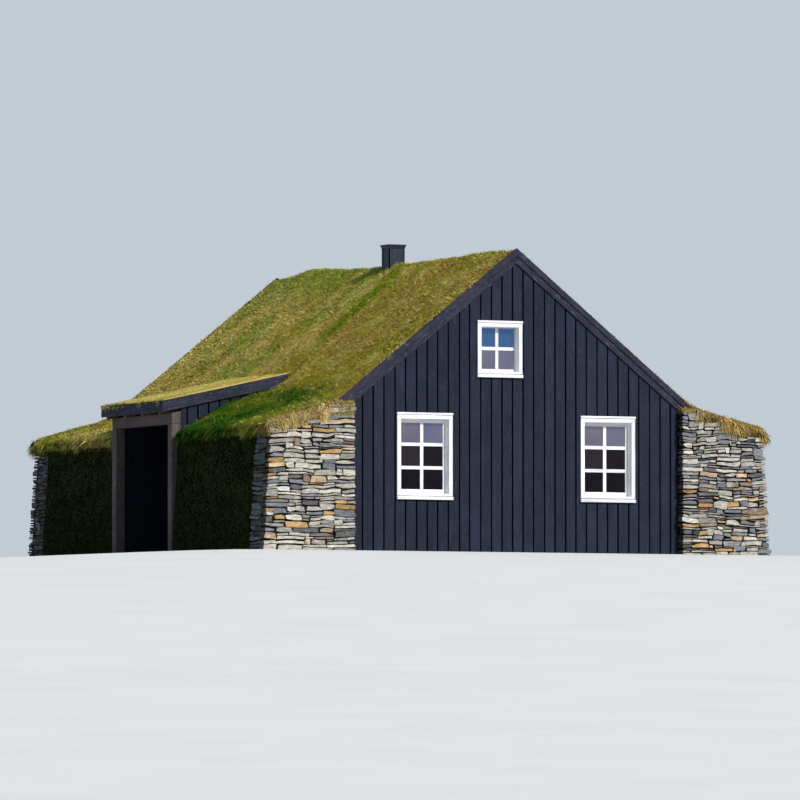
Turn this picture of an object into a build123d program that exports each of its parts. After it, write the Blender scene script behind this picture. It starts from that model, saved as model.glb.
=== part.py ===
from build123d import *
import os
from math import cos, radians, sin, tan

# Turf house: a dark timber house under a grass roof, with thick turf walls along its two
# sides, dry stone ends on those walls and a lean-to porch cut into the left one.
# Frame in millimetres: X to the right, Y to the back, Z up. The origin is on the ground
# under the middle of the house, and the front gable faces -Y.

# Timber house
LENGTH = 9500.0              # over the outer faces of the two gable walls
TIMBER_WIDTH = 6160.0        # over the outer faces of the two side walls
WALL_T = 200.0
FLOOR_T = 100.0
LOFT_T = 180.0
LOFT_CLEARANCE = 35.0        # under the roof deck at the side walls

# Roof
EAVE_Z = 2480.0              # underside of the deck at the outer face of a side wall
ROOF_PITCH = 38.24           # degrees
ROOF_TURF_T = 150.0          # square to the slope
DECK_T = 40.0                # square to the slope
RIDGE_R = 120.0              # rounding of the turf ridge
BEND_R = 700.0               # where the roof turf flattens over the side walls

# Turf and stone side walls
SIDE_WALL_T = 1700.0         # at the foot
SIDE_BATTER = 130.0          # how far the outer face leans in at its top
EAVE_COVER = 50.0            # from the wall top beside the house up to the deck
WALL_TOP_FALL = 480.0        # from there down to the wall top at the outer face
STONE_PROUD = 200.0          # stone ends in front of the gable face
STONE_RETURN = 650.0         # depth of a stone end along the side wall
CAP_SEAT_T = 70.0            # level turf that the bargeboards stand on
CAP_SEAT_W = 320.0
CAP_PITCH = 15.0             # degrees, turf over the side walls
CAP_OVERHANG = 70.0
CAP_DROOP = 25.0
CAP_R = 150.0                # rounding of the outer turf edge

# Hummocks that the turf has grown into, on a grid of crowns and hollows
HUMMOCK_H = 65.0             # highest crown over the plain turf
HUMMOCK_STEP = 450.0         # from a crown to the next hollow
HUMMOCK_KEY = 50.0           # depth that they are bedded into the plain turf
HUMMOCK_MARGIN = 120.0       # plain turf left beside the ridge, the gables and the edge
HUMMOCK_TURN_Y = 2.7         # radians from one row to the next, so that no two rows are alike
HUMMOCK_TURN_X = 2.3

# Bargeboards: a wide board with a narrower one nailed over its upper edge
BARGE_DEPTH = 205.0          # square to the slope
BARGE_T = 30.0
BARGE_TOP_DEPTH = 95.0
BARGE_TOP_T = 22.0

# Windows, over the outer edges of their casings
WINDOW_W = 1050.0
WINDOW_H = 1460.0
WINDOW_SILL_Z = 885.0
WINDOW_TO_EDGE = 1355.0      # from the middle of a window to the gable's edge
ATTIC_W = 857.0
ATTIC_H = 958.0
ATTIC_SILL_Z = 2960.0
ATTIC_X = -317.0             # the attic window sits left of the apex
CASING_W = 75.0
CASING_T = 28.0
LINING_T = 22.0
REVEAL = 110.0               # from the wall face back to the sash
SASH_W = 50.0
SASH_T = 45.0
GLASS_T = 8.0

# Door in the left wall, inside the porch
DOOR_W = 900.0
DOOR_H = 2050.0
DOOR_T = 50.0
DOOR_SET_BACK = 60.0
DOOR_FRAME_W = 60.0
DOOR_FRAME_PROUD = 20.0

# Chimney on the ridge
CHIMNEY_SIDE = 300.0
CHIMNEY_RISE = 260.0         # from the apex to the underside of the cap
CHIMNEY_DROP = 450.0         # from the apex down to the foot of the shaft in the loft
CAP_STONE_SIDE = 345.0
CAP_STONE_T = 65.0

# Porch, a lean-to on the left side
PORCH_WIDTH = 2500.0         # along Y, over the boarded end walls
PORCH_WALL_T = 120.0
PORCH_EAVE_OUT = 190.0       # fascia beyond the foot of the side wall
PORCH_EAVE_Z = 2620.0        # turf surface at the eave
PORCH_PITCH = 12.1           # degrees
PORCH_TURF_T = 100.0
PORCH_DECK_T = 40.0
PORCH_BARGE_DEPTH = 190.0
PORCH_BARGE_T = 40.0
FASCIA_T = 30.0
FASCIA_H = 190.0
POST_SIDE = 170.0
BEAM_H = 180.0
RAFTER_W = 80.0
RAFTER_H = 100.0
RAFTER_COUNT = 4
LEDGER_T = 40.0
BANK_LENGTH = 1100.0         # turf heaped against the porch's end walls
BANK_SHOULDER_IN = 980.0     # from the foot of the side wall to the bank's shoulder
BANK_RISE = 240.0            # shoulder over the turf on the wall
BANK_PITCH = 17.0            # degrees, from the shoulder up to the main roof
BANK_TOE_IN = 220.0
BANK_KEY = 60.0              # depth that the heaped turf is bedded into the roof turf

# Worked out from the sizes above
FRONT = -LENGTH / 2
BACK = LENGTH / 2
TIMBER_X = TIMBER_WIDTH / 2
ROOM_X = TIMBER_X - WALL_T
ROOF_SLOPE = tan(radians(ROOF_PITCH))
ROOF_COS = cos(radians(ROOF_PITCH))
APEX_Z = EAVE_Z + ROOF_SLOPE * TIMBER_X + (ROOF_TURF_T + DECK_T) / ROOF_COS
STONE_INNER_Z = EAVE_Z - EAVE_COVER
STONE_OUTER_Z = STONE_INNER_Z - WALL_TOP_FALL
CAP_SEAT_Z = STONE_INNER_Z + CAP_SEAT_T
WINDOW_X = TIMBER_X - WINDOW_TO_EDGE
FOOT_X = TIMBER_X + SIDE_WALL_T
TOP_X = FOOT_X - SIDE_BATTER
PORCH_EAVE_X = FOOT_X + PORCH_EAVE_OUT
CAP_X = TOP_X + CAP_OVERHANG
CAP_SLOPE = tan(radians(CAP_PITCH))
CAP_TURN_X = TIMBER_X + CAP_SEAT_W
PORCH_END = PORCH_WIDTH / 2
PORCH_SLOPE = tan(radians(PORCH_PITCH))
PORCH_COS = cos(radians(PORCH_PITCH))
POST_X = FOOT_X - POST_SIDE


def turf_top(x):
    """Top of the roof turf on the steep slope."""
    return APEX_Z - ROOF_SLOPE * x


def deck_top(x):
    return turf_top(x) - ROOF_TURF_T / ROOF_COS


def deck_bottom(x):
    return deck_top(x) - DECK_T / ROOF_COS


def cap_top(x):
    """Top of the flatter turf over the side walls."""
    return CAP_SEAT_Z - CAP_SLOPE * (x - CAP_TURN_X)


BEND_X = (APEX_Z - cap_top(0)) / (ROOF_SLOPE - CAP_SLOPE)


def outer_face(z):
    """Leaning outer face of the side walls."""
    return FOOT_X - SIDE_BATTER * z / STONE_OUTER_Z


def porch_top(x):
    return PORCH_EAVE_Z + PORCH_SLOPE * (PORCH_EAVE_X - x)


def porch_deck_top(x):
    return porch_top(x) - PORCH_TURF_T / PORCH_COS


def porch_deck_bottom(x):
    return porch_deck_top(x) - PORCH_DECK_T / PORCH_COS


def porch_rafter_bottom(x):
    return porch_deck_bottom(x) - RAFTER_H / PORCH_COS


def meeting_x(steep, gentle):
    """Distance from the middle at which a line of the main roof meets one of the porch."""
    return (steep(0) - gentle(0)) / (ROOF_SLOPE - PORCH_SLOPE)


def prism_y(points, y0, y1):
    """Outline of (x, z) points, extruded from y0 to y1."""
    outline = make_face(Polyline(*[(x, y0, z) for x, z in points], close=True))
    return extrude(outline, amount=y1 - y0, dir=(0, 1, 0))


def block(x0, x1, y0, y1, z0, z1):
    corner = Align.MIN
    return Pos(x0, y0, z0) * Box(x1 - x0, y1 - y0, z1 - z0, align=(corner, corner, corner))


def rounded_prism_y(points, rounds, y0, y1):
    """As prism_y, with the corners named in rounds, (x, z): radius, made round."""
    outline = make_face(Polyline(*[(x, y0, z) for x, z in points], close=True))
    for (x, z), radius in rounds.items():
        corner = outline.vertices().sort_by_distance(Vector(x, y0, z))[0]
        outline = fillet(corner, radius)
    return extrude(outline, amount=y1 - y0, dir=(0, 1, 0))


def to_left(solid):
    return mirror(solid, about=Plane.YZ)


def to_back(solid):
    """Half turn about the middle of the house, so that both gables look alike."""
    return Rot(0, 0, 180) * solid


# Windows
def window_sizes():
    """Name, middle, sill height, width and height of each window in a gable."""
    return [
        ("left_window", -WINDOW_X, WINDOW_SILL_Z, WINDOW_W, WINDOW_H),
        ("right_window", WINDOW_X, WINDOW_SILL_Z, WINDOW_W, WINDOW_H),
        ("attic_window", ATTIC_X, ATTIC_SILL_Z, ATTIC_W, ATTIC_H),
    ]


def window_hole(middle, sill, width, height):
    half = width / 2 - CASING_W
    return block(middle - half, middle + half, FRONT, FRONT + WALL_T,
                 sill + CASING_W, sill + height - CASING_W)


def ring(middle, sill, width, height, inset, thickness, y0, y1):
    """Rectangular frame, inset from the window's outer edge."""
    outer = block(middle - width / 2 + inset, middle + width / 2 - inset, y0, y1,
                  sill + inset, sill + height - inset)
    inner_inset = inset + thickness
    inner = block(middle - width / 2 + inner_inset, middle + width / 2 - inner_inset, y0, y1,
                  sill + inner_inset, sill + height - inner_inset)
    return outer - inner


def window_frame(middle, sill, width, height):
    casing = ring(middle, sill, width, height, 0, CASING_W + LINING_T, FRONT - CASING_T, FRONT)
    lining = ring(middle, sill, width, height, CASING_W, LINING_T, FRONT, FRONT + WALL_T)
    sash = ring(middle, sill, width, height, CASING_W + LINING_T, SASH_W,
                FRONT + REVEAL, FRONT + REVEAL + SASH_T)
    return casing + lining + sash


def window_glass(middle, sill, width, height):
    inset = CASING_W + LINING_T + SASH_W
    y0 = FRONT + REVEAL + SASH_T / 2 - GLASS_T / 2
    return block(middle - width / 2 + inset, middle + width / 2 - inset, y0, y0 + GLASS_T,
                 sill + inset, sill + height - inset)


# Timber house
def gable_wall():
    outline = [(-TIMBER_X, 0), (TIMBER_X, 0), (TIMBER_X, deck_bottom(TIMBER_X)),
               (0, deck_bottom(0)), (-TIMBER_X, deck_bottom(TIMBER_X))]
    wall = prism_y(outline, FRONT, FRONT + WALL_T)
    for _, middle, sill, width, height in window_sizes():
        wall -= window_hole(middle, sill, width, height)
    return wall


def side_wall():
    outline = [(ROOM_X, 0), (TIMBER_X, 0), (TIMBER_X, deck_bottom(TIMBER_X)),
               (ROOM_X, deck_bottom(ROOM_X))]
    return prism_y(outline, FRONT + WALL_T, BACK - WALL_T)


DOOR_HOLE_HALF = DOOR_W / 2 + DOOR_FRAME_W
DOOR_HOLE_TOP = FLOOR_T + DOOR_H + DOOR_FRAME_W


def door_hole():
    return block(-TIMBER_X, -ROOM_X, -DOOR_HOLE_HALF, DOOR_HOLE_HALF, FLOOR_T, DOOR_HOLE_TOP)


def door_frame():
    outer = block(-TIMBER_X - DOOR_FRAME_PROUD, -ROOM_X, -DOOR_HOLE_HALF, DOOR_HOLE_HALF,
                  FLOOR_T, DOOR_HOLE_TOP)
    inner = block(-TIMBER_X - DOOR_FRAME_PROUD, -ROOM_X, -DOOR_W / 2, DOOR_W / 2,
                  FLOOR_T, FLOOR_T + DOOR_H)
    return outer - inner


def door():
    x0 = -TIMBER_X + DOOR_SET_BACK
    return block(x0, x0 + DOOR_T, -DOOR_W / 2, DOOR_W / 2, FLOOR_T, FLOOR_T + DOOR_H)


def floor():
    return block(-ROOM_X, ROOM_X, FRONT + WALL_T, BACK - WALL_T, 0, FLOOR_T)


def loft_floor():
    top = deck_bottom(ROOM_X) - LOFT_CLEARANCE
    return block(-ROOM_X, ROOM_X, FRONT + WALL_T, BACK - WALL_T, top - LOFT_T, top)


# Side walls
def side_wall_section():
    """Battered section that the turf and the stone ends share."""
    return [(TIMBER_X, 0), (FOOT_X, 0), (TOP_X, STONE_OUTER_Z), (TIMBER_X, STONE_INNER_Z)]


STONE_FRONT = FRONT - STONE_PROUD
STONE_BACK = STONE_FRONT + STONE_RETURN


def stone_end():
    return prism_y(side_wall_section(), STONE_FRONT, STONE_BACK)


def turf_wall(y0, y1):
    return prism_y(side_wall_section(), y0, y1)


# Roof
def roof_deck():
    outline = [(0, deck_top(0)), (TIMBER_X, deck_top(TIMBER_X)),
               (TIMBER_X, deck_bottom(TIMBER_X)), (0, deck_bottom(0))]
    return prism_y(outline, FRONT, BACK) - chimney_hole()


def cap_underside():
    """Turf edge that droops over the wall's outer face, then the wall top."""
    low = STONE_OUTER_Z - CAP_DROOP
    return [(CAP_X, low), (outer_face(low), low), (TOP_X, STONE_OUTER_Z),
            (TIMBER_X, STONE_INNER_Z)]


def roof_turf():
    """Steep slope behind the bargeboards, flattening over the side wall."""
    bend = (BEND_X, cap_top(BEND_X))
    edge = (CAP_X, cap_top(CAP_X))
    outline = [(0, APEX_Z), bend, edge] + cap_underside()
    outline += [(TIMBER_X, deck_top(TIMBER_X)), (0, deck_top(0))]
    slope = rounded_prism_y(outline, {bend: BEND_R, edge: CAP_R}, FRONT, BACK)
    return slope - ridge_waste() + hummocks() - chimney_hole() \
        + wall_cap(STONE_FRONT, FRONT) + wall_cap(BACK, -STONE_FRONT)


def spread(start, end, step):
    """Places from start to end, about a step apart."""
    count = round((end - start) / step)
    return [start + (end - start) * i / count for i in range(count + 1)]


def hummocks():
    """Blanket of crowns and hollows. Its rim and its hollows lie under the plain turf."""
    inner_x = RIDGE_R + HUMMOCK_MARGIN
    outer_x = CAP_X - CAP_R - HUMMOCK_MARGIN
    places = spread(inner_x, BEND_X, HUMMOCK_STEP)[:-1] + spread(BEND_X, outer_x, HUMMOCK_STEP)
    rows = spread(FRONT + HUMMOCK_MARGIN, BACK - HUMMOCK_MARGIN, HUMMOCK_STEP)
    bedding = [(x, max(turf_top(x), cap_top(x)) - HUMMOCK_KEY)
               for x in (outer_x, BEND_X, inner_x)]
    sunk = -HUMMOCK_KEY / 2

    def rise(row, column):
        if row in (0, len(rows) - 1) or column in (0, len(places) - 1):
            return sunk
        crown = cos(HUMMOCK_TURN_Y * row + column) * cos(HUMMOCK_TURN_X * column)
        return max(sunk, HUMMOCK_H * crown)

    sections = []
    for row, y in enumerate(rows):
        top = [(x, max(turf_top(x), cap_top(x)) + rise(row, column))
               for column, x in enumerate(places)]
        line = Polyline(*[(x, y, z) for x, z in top + bedding], close=True)
        sections.append(make_face(line))
    return loft(sections, ruled=True)


def wall_cap(y0, y1):
    """Turf on a stone end, level where the bargeboard's foot stands."""
    edge = (CAP_X, cap_top(CAP_X))
    outline = [(TIMBER_X, CAP_SEAT_Z), (CAP_TURN_X, CAP_SEAT_Z), edge] + cap_underside()
    return rounded_prism_y(outline, {edge: CAP_R}, y0, y1)


def ridge_waste():
    """What rounding the ridge takes off one slope."""
    middle_z = APEX_Z - RIDGE_R / ROOF_COS
    touch = radians(ROOF_PITCH)
    arc = ThreePointArc(
        (0, FRONT, middle_z + RIDGE_R),
        (RIDGE_R * sin(touch / 2), FRONT, middle_z + RIDGE_R * cos(touch / 2)),
        (RIDGE_R * sin(touch), FRONT, middle_z + RIDGE_R * cos(touch)))
    straight = Polyline(arc @ 1, (0, FRONT, APEX_Z), arc @ 0)
    return extrude(make_face([*arc.edges(), *straight.edges()]), amount=LENGTH, dir=(0, 1, 0))


# Places where the porch roof meets the main one, as (distance from the middle, height)
DECK_MEET_X = meeting_x(deck_top, porch_deck_top)
TURF_MEET_X = meeting_x(turf_top, porch_top)


def porch_turf_waste():
    """Room that the main turf leaves for the porch roof."""
    outline = [(-DECK_MEET_X, deck_top(DECK_MEET_X)), (-TURF_MEET_X, turf_top(TURF_MEET_X)),
               (-TURF_MEET_X, APEX_Z), (-PORCH_EAVE_X, APEX_Z), (-PORCH_EAVE_X, 0),
               (-DECK_MEET_X, 0)]
    return prism_y(outline, -PORCH_END, PORCH_END)


def porch_bank():
    """Turf heaped against a porch end wall, running out along the side wall."""
    slope = tan(radians(BANK_PITCH))
    shoulder_x = FOOT_X - BANK_SHOULDER_IN
    shoulder_z = cap_top(shoulder_x) + BANK_RISE
    head_x = (APEX_Z - shoulder_z - slope * shoulder_x) / (ROOF_SLOPE - slope)
    toe_x = FOOT_X - BANK_TOE_IN
    ground = [(head_x, turf_top(head_x)), (BEND_X, cap_top(BEND_X)),
              (shoulder_x, cap_top(shoulder_x)), (toe_x, cap_top(toe_x))]
    heaped = [ground[0], (BEND_X, shoulder_z + slope * (shoulder_x - BEND_X)),
              (shoulder_x, shoulder_z), ground[3]]
    bedding = [(x, z - BANK_KEY) for x, z in reversed(ground)]
    flush = [(x, z - BANK_KEY / 3) for x, z in ground]

    def section(points, y):
        return make_face(Polyline(*[(-x, y, z) for x, z in points], close=True))

    return loft([section(flush + bedding, -PORCH_END - BANK_LENGTH),
                 section(heaped + bedding, -PORCH_END)], ruled=True)


def left_roof_turf():
    """Like the right one, with room for the porch roof and turf heaped beside it."""
    front_bank = porch_bank()
    rear_bank = mirror(front_bank, about=Plane.XZ)
    front_board = porch_bargeboard()
    rear_board = mirror(front_board, about=Plane.XZ)
    slope = to_left(roof_turf()) - porch_turf_waste()
    return slope + front_bank + rear_bank - front_board - rear_board


# Chimney
def chimney_hole():
    half = CHIMNEY_SIDE / 2
    return block(-half, half, -half, half, APEX_Z - CHIMNEY_DROP, APEX_Z + CHIMNEY_RISE)


def chimney_cap():
    half = CAP_STONE_SIDE / 2
    z0 = APEX_Z + CHIMNEY_RISE
    return block(-half, half, -half, half, z0, z0 + CAP_STONE_T)


# Bargeboards of the gables
def sloping_board(depth, y0, y1):
    drop = depth / ROOF_COS
    top_foot = (APEX_Z - CAP_SEAT_Z) / ROOF_SLOPE
    low_foot = (APEX_Z - drop - CAP_SEAT_Z) / ROOF_SLOPE
    return prism_y([(0, APEX_Z), (top_foot, CAP_SEAT_Z), (low_foot, CAP_SEAT_Z),
                    (0, APEX_Z - drop)], y0, y1)


def bargeboard():
    wide = sloping_board(BARGE_DEPTH, FRONT - BARGE_T, FRONT)
    narrow = sloping_board(BARGE_TOP_DEPTH, FRONT - BARGE_T - BARGE_TOP_T, FRONT - BARGE_T)
    return wide + narrow


# Porch
def porch_end_wall():
    """Boarded wall from the corner post up to the main roof."""
    low_meet = meeting_x(deck_top, porch_deck_bottom)
    outline = [(-POST_X, 0), (-TIMBER_X, 0), (-TIMBER_X, deck_top(TIMBER_X)),
               (-low_meet, deck_top(low_meet)), (-POST_X, porch_deck_bottom(POST_X))]
    return prism_y(outline, -PORCH_END, -PORCH_END + PORCH_WALL_T)


def porch_beam_profile():
    low = porch_rafter_bottom(FOOT_X) - BEAM_H
    return [(-FOOT_X, low), (-POST_X, low), (-POST_X, porch_rafter_bottom(POST_X)),
            (-FOOT_X, porch_rafter_bottom(FOOT_X))]


def porch_posts():
    top = porch_rafter_bottom(FOOT_X) - BEAM_H
    front = block(-FOOT_X, -POST_X, -PORCH_END, -PORCH_END + POST_SIDE, 0, top)
    return [front, mirror(front, about=Plane.XZ)]


def porch_ledger():
    outline = [(-TIMBER_X - LEDGER_T, porch_rafter_bottom(TIMBER_X)),
               (-TIMBER_X, porch_rafter_bottom(TIMBER_X)),
               (-TIMBER_X, porch_deck_bottom(TIMBER_X)),
               (-TIMBER_X - LEDGER_T, porch_deck_bottom(TIMBER_X + LEDGER_T))]
    half = PORCH_END - PORCH_WALL_T
    return prism_y(outline, -half, half)


def porch_rafters():
    inner = TIMBER_X + LEDGER_T
    outer = PORCH_EAVE_X - FASCIA_T
    outline = [(-outer, porch_deck_bottom(outer)), (-inner, porch_deck_bottom(inner)),
               (-inner, porch_rafter_bottom(inner)), (-outer, porch_rafter_bottom(outer))]
    first = -PORCH_END + PORCH_WALL_T
    spacing = (-2 * first - RAFTER_W) / (RAFTER_COUNT - 1)
    return [prism_y(outline, first + spacing * i, first + spacing * i + RAFTER_W)
            for i in range(RAFTER_COUNT)]


def porch_roof_deck():
    low_meet = meeting_x(deck_top, porch_deck_bottom)
    outer = PORCH_EAVE_X - FASCIA_T
    outline = [(-outer, porch_deck_top(outer)), (-DECK_MEET_X, deck_top(DECK_MEET_X)),
               (-low_meet, deck_top(low_meet)), (-outer, porch_deck_bottom(outer))]
    return prism_y(outline, -PORCH_END, PORCH_END)


def porch_roof_turf():
    outer = PORCH_EAVE_X - FASCIA_T
    outline = [(-outer, porch_top(outer)), (-TURF_MEET_X, turf_top(TURF_MEET_X)),
               (-DECK_MEET_X, deck_top(DECK_MEET_X)), (-outer, porch_deck_top(outer))]
    return prism_y(outline, -PORCH_END, PORCH_END)


def porch_bargeboard():
    """Board on the porch's end, cut to the slope of the main turf."""
    drop = PORCH_BARGE_DEPTH / PORCH_COS
    low_meet = (turf_top(0) - porch_top(0) + drop) / (ROOF_SLOPE - PORCH_SLOPE)
    outline = [(-PORCH_EAVE_X, porch_top(PORCH_EAVE_X)),
               (-TURF_MEET_X, turf_top(TURF_MEET_X)), (-low_meet, turf_top(low_meet)),
               (-PORCH_EAVE_X, porch_top(PORCH_EAVE_X) - drop)]
    return prism_y(outline, -PORCH_END - PORCH_BARGE_T, -PORCH_END)


def porch_fascia():
    top = porch_top(PORCH_EAVE_X)
    outline = [(-PORCH_EAVE_X, top - FASCIA_H), (-PORCH_EAVE_X, top),
               (-PORCH_EAVE_X + FASCIA_T, porch_top(PORCH_EAVE_X - FASCIA_T)),
               (-PORCH_EAVE_X + FASCIA_T, top - FASCIA_H)]
    return prism_y(outline, -PORCH_END, PORCH_END)


nodes = {}

nodes["floor"] = floor()
nodes["loft_floor"] = loft_floor()
nodes["front_wall"] = gable_wall()
nodes["back_wall"] = to_back(gable_wall())
nodes["right_wall"] = side_wall()
nodes["left_wall"] = to_left(side_wall()) - door_hole()
nodes["door_frame"] = door_frame()
nodes["door"] = door()

nodes["front_right_stone_wall"] = stone_end()
nodes["front_left_stone_wall"] = to_left(stone_end())
nodes["back_left_stone_wall"] = to_back(stone_end())
nodes["back_right_stone_wall"] = to_back(to_left(stone_end()))
nodes["right_turf_wall"] = turf_wall(STONE_BACK, -STONE_BACK)
nodes["left_turf_wall_front"] = to_left(turf_wall(STONE_BACK, -PORCH_END))
nodes["left_turf_wall_rear"] = to_left(turf_wall(PORCH_END, -STONE_BACK))

nodes["right_roof_deck"] = roof_deck()
nodes["left_roof_deck"] = to_left(roof_deck())
nodes["right_roof_turf"] = roof_turf()
nodes["left_roof_turf"] = left_roof_turf()
nodes["chimney_shaft"] = chimney_hole()
nodes["chimney_cap"] = chimney_cap()

nodes["front_right_bargeboard"] = bargeboard()
nodes["front_left_bargeboard"] = to_left(bargeboard())
nodes["back_left_bargeboard"] = to_back(bargeboard())
nodes["back_right_bargeboard"] = to_back(to_left(bargeboard()))

panes = []
for name, middle, sill, width, height in window_sizes():
    frame = window_frame(middle, sill, width, height)
    nodes["front_" + name] = frame
    nodes["back_" + name] = to_back(frame)
    panes.append(window_glass(middle, sill, width, height))
nodes["front_window_glass"] = Compound(panes)
nodes["back_window_glass"] = to_back(Compound(panes))

nodes["porch_front_wall"] = porch_end_wall()
nodes["porch_rear_wall"] = mirror(porch_end_wall(), about=Plane.XZ)
nodes["porch_posts"] = Compound(porch_posts())
nodes["porch_beam"] = prism_y(porch_beam_profile(), -PORCH_END, PORCH_END)
nodes["porch_ledger"] = porch_ledger()
nodes["porch_rafters"] = Compound(porch_rafters())
nodes["porch_roof_deck"] = porch_roof_deck()
nodes["porch_roof_turf"] = porch_roof_turf()
nodes["porch_front_bargeboard"] = porch_bargeboard()
nodes["porch_rear_bargeboard"] = mirror(porch_bargeboard(), about=Plane.XZ)
nodes["porch_fascia"] = porch_fascia()

os.makedirs("parts", exist_ok=True)
for name, shape in nodes.items():
    export_step(shape, f"parts/{name}.step")
print(len(nodes), "nodes written")
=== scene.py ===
from math import atan, cos, pi, radians, sin, tan

import bmesh
import bpy
import numpy as np
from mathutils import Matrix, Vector
from mathutils.bvhtree import BVHTree


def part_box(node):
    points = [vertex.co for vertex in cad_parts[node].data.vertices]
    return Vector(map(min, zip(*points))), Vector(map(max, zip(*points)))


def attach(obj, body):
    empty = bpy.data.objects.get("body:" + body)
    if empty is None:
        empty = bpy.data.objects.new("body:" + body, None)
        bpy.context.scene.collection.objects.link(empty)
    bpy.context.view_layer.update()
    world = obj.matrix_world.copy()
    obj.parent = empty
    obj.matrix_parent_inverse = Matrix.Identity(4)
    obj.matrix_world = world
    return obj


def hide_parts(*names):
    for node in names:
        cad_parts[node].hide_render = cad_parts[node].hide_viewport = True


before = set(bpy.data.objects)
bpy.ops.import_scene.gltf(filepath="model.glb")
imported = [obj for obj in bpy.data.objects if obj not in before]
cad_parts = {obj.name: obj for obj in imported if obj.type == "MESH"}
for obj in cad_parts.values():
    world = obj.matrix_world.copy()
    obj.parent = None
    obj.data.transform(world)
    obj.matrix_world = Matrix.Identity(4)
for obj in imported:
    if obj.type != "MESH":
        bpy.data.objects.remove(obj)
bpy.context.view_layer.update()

# Places read from the frame
NEAR = 0.002            # places closer than this count as the same


def corners(node):
    low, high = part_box(node)
    return np.array(low), np.array(high)


def mesh_points(mesh):
    co = np.empty(len(mesh.vertices) * 3)
    mesh.vertices.foreach_get("co", co)
    return co.reshape(-1, 3)


def points_of(node):
    return mesh_points(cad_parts[node].data)


def faces_of(node, first=0):
    """Faces of a CAD node, with its corners numbered from first."""
    return [tuple(first + i for i in polygon.vertices)
            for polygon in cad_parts[node].data.polygons]


def top_at(node, x):
    """Height of a node's top where its section has a corner at x."""
    co = points_of(node)
    return co[abs(co[:, 0] - x) < NEAR, 2].max()


wall_low, wall_high = corners("front_wall")
FRONT = wall_low[1]
WALL_T = wall_high[1] - wall_low[1]
TIMBER_X, WALL_APEX_Z = wall_high[0], wall_high[2]
stone_low, stone_high = corners("front_right_stone_wall")
STONE_FRONT, STONE_BACK = stone_low[1], stone_high[1]
FOOT_X, STONE_INNER_Z = stone_high[0], stone_high[2]
stone_points = points_of("front_right_stone_wall")
TOP_X = stone_points[stone_points[:, 2] > STONE_INNER_Z / 2, 0].max()
STONE_OUTER_Z = top_at("front_right_stone_wall", TOP_X)
barge_low, barge_high = corners("front_right_bargeboard")
APEX_Z, SEAT_Z = barge_high[2], barge_low[2]
BARGE_FOOT_X = barge_high[0]
ROOF_SLOPE = (APEX_Z - SEAT_Z) / BARGE_FOOT_X
turf_low, turf_high = corners("right_roof_turf")
CAP_X, CAP_LOW_Z = turf_high[0], turf_low[2]
DECK_TOP_Z = corners("right_roof_deck")[1][2]
porch_low, porch_high = corners("porch_front_bargeboard")
PORCH_EAVE_X, PORCH_MEET_X = -porch_low[0], -porch_high[0]
PORCH_EAVE_Z = top_at("porch_front_bargeboard", porch_low[0])
PORCH_SLOPE = (porch_high[2] - PORCH_EAVE_Z) / (PORCH_EAVE_X - PORCH_MEET_X)
PORCH_BARGE_T = porch_high[1] - porch_low[1]
PORCH_END = corners("porch_roof_turf")[1][1]
PORCH_TURF_END_X = -corners("porch_roof_turf")[0][0]
PORCH_DECK_EAVE_Z = top_at("porch_roof_deck", -PORCH_TURF_END_X)

CAP_SLOPE = tan(radians(15))
SEAT_W = 0.32           # level seat of a bargeboard's foot
CAP_TURN_X = TIMBER_X + SEAT_W
ROOF_ANGLE = atan(ROOF_SLOPE)
PORCH_ANGLE = atan(PORCH_SLOPE)


# Random numbers and noise
def dice(name):
    """Random numbers of its own for each piece, the same in every run."""
    return np.random.default_rng([ord(letter) for letter in name])


LATTICE_SIZE = 64
LATTICE = np.random.default_rng(7).random((LATTICE_SIZE,) * 3)
OCTAVE_SHIFT = 9.7


def noise(points, size, shift=0.0):
    """Smooth values from 0 to 1 that change over about the given size in metres."""
    place = np.asarray(points, float) / size + shift
    cell = np.floor(place).astype(int)
    part = place - cell
    x, y, z = (part * part * (3 - 2 * part)).T
    total = 0
    for step in np.ndindex(2, 2, 2):
        i, j, k = step
        weight = abs(1 - i - x) * abs(1 - j - y) * abs(1 - k - z)
        total = total + weight * LATTICE[tuple(((cell + step) % LATTICE_SIZE).T)]
    return total


def rough(points, size, octaves=3, shift=0.0):
    """Noise with finer layers on it, from about 0 to 1."""
    shares = [0.5 ** octave for octave in range(octaves)]
    layers = [share * noise(points, size * share, shift + OCTAVE_SHIFT * octave)
              for octave, share in enumerate(shares)]
    return sum(layers) / sum(shares)


def rows_of(x, y, z):
    """Grids of coordinates as rows of points."""
    return np.stack([x, y, z], -1).reshape(-1, 3)


def smooth_step(low, high, value):
    t = np.clip((value - low) / (high - low), 0, 1)
    return t * t * (3 - 2 * t)


def linear(*colour):
    """Linear colour of an sRGB one given as 0 to 255."""
    share = np.array(colour, float) / 255
    return np.where(share < 0.04045, share / 12.92, ((share + 0.055) / 1.055) ** 2.4)


# Meshes
def placed(name, data):
    """New object in the scene."""
    thing = bpy.data.objects.new(name, data)
    bpy.context.scene.collection.objects.link(thing)
    return thing


def add_piece(name, mesh, material, nodes=()):
    mesh.materials.append(material)
    piece = placed(name, mesh)
    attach(piece, "root")
    if nodes:
        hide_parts(*nodes)


def mesh_of_rows(name, points, faces, smooth=False):
    """Mesh of many faces that all have as many corners."""
    mesh = bpy.data.meshes.new(name)
    count, sides = faces.shape
    mesh.vertices.add(len(points))
    mesh.vertices.foreach_set("co", np.asarray(points, np.float32).ravel())
    mesh.loops.add(count * sides)
    mesh.loops.foreach_set("vertex_index", faces.astype(np.int32).ravel())
    mesh.polygons.add(count)
    mesh.polygons.foreach_set("loop_start", np.arange(0, count * sides, sides, dtype=np.int32))
    mesh.update(calc_edges=True)
    if smooth:
        mesh.polygons.foreach_set("use_smooth", np.ones(count, bool))
    return mesh


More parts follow.
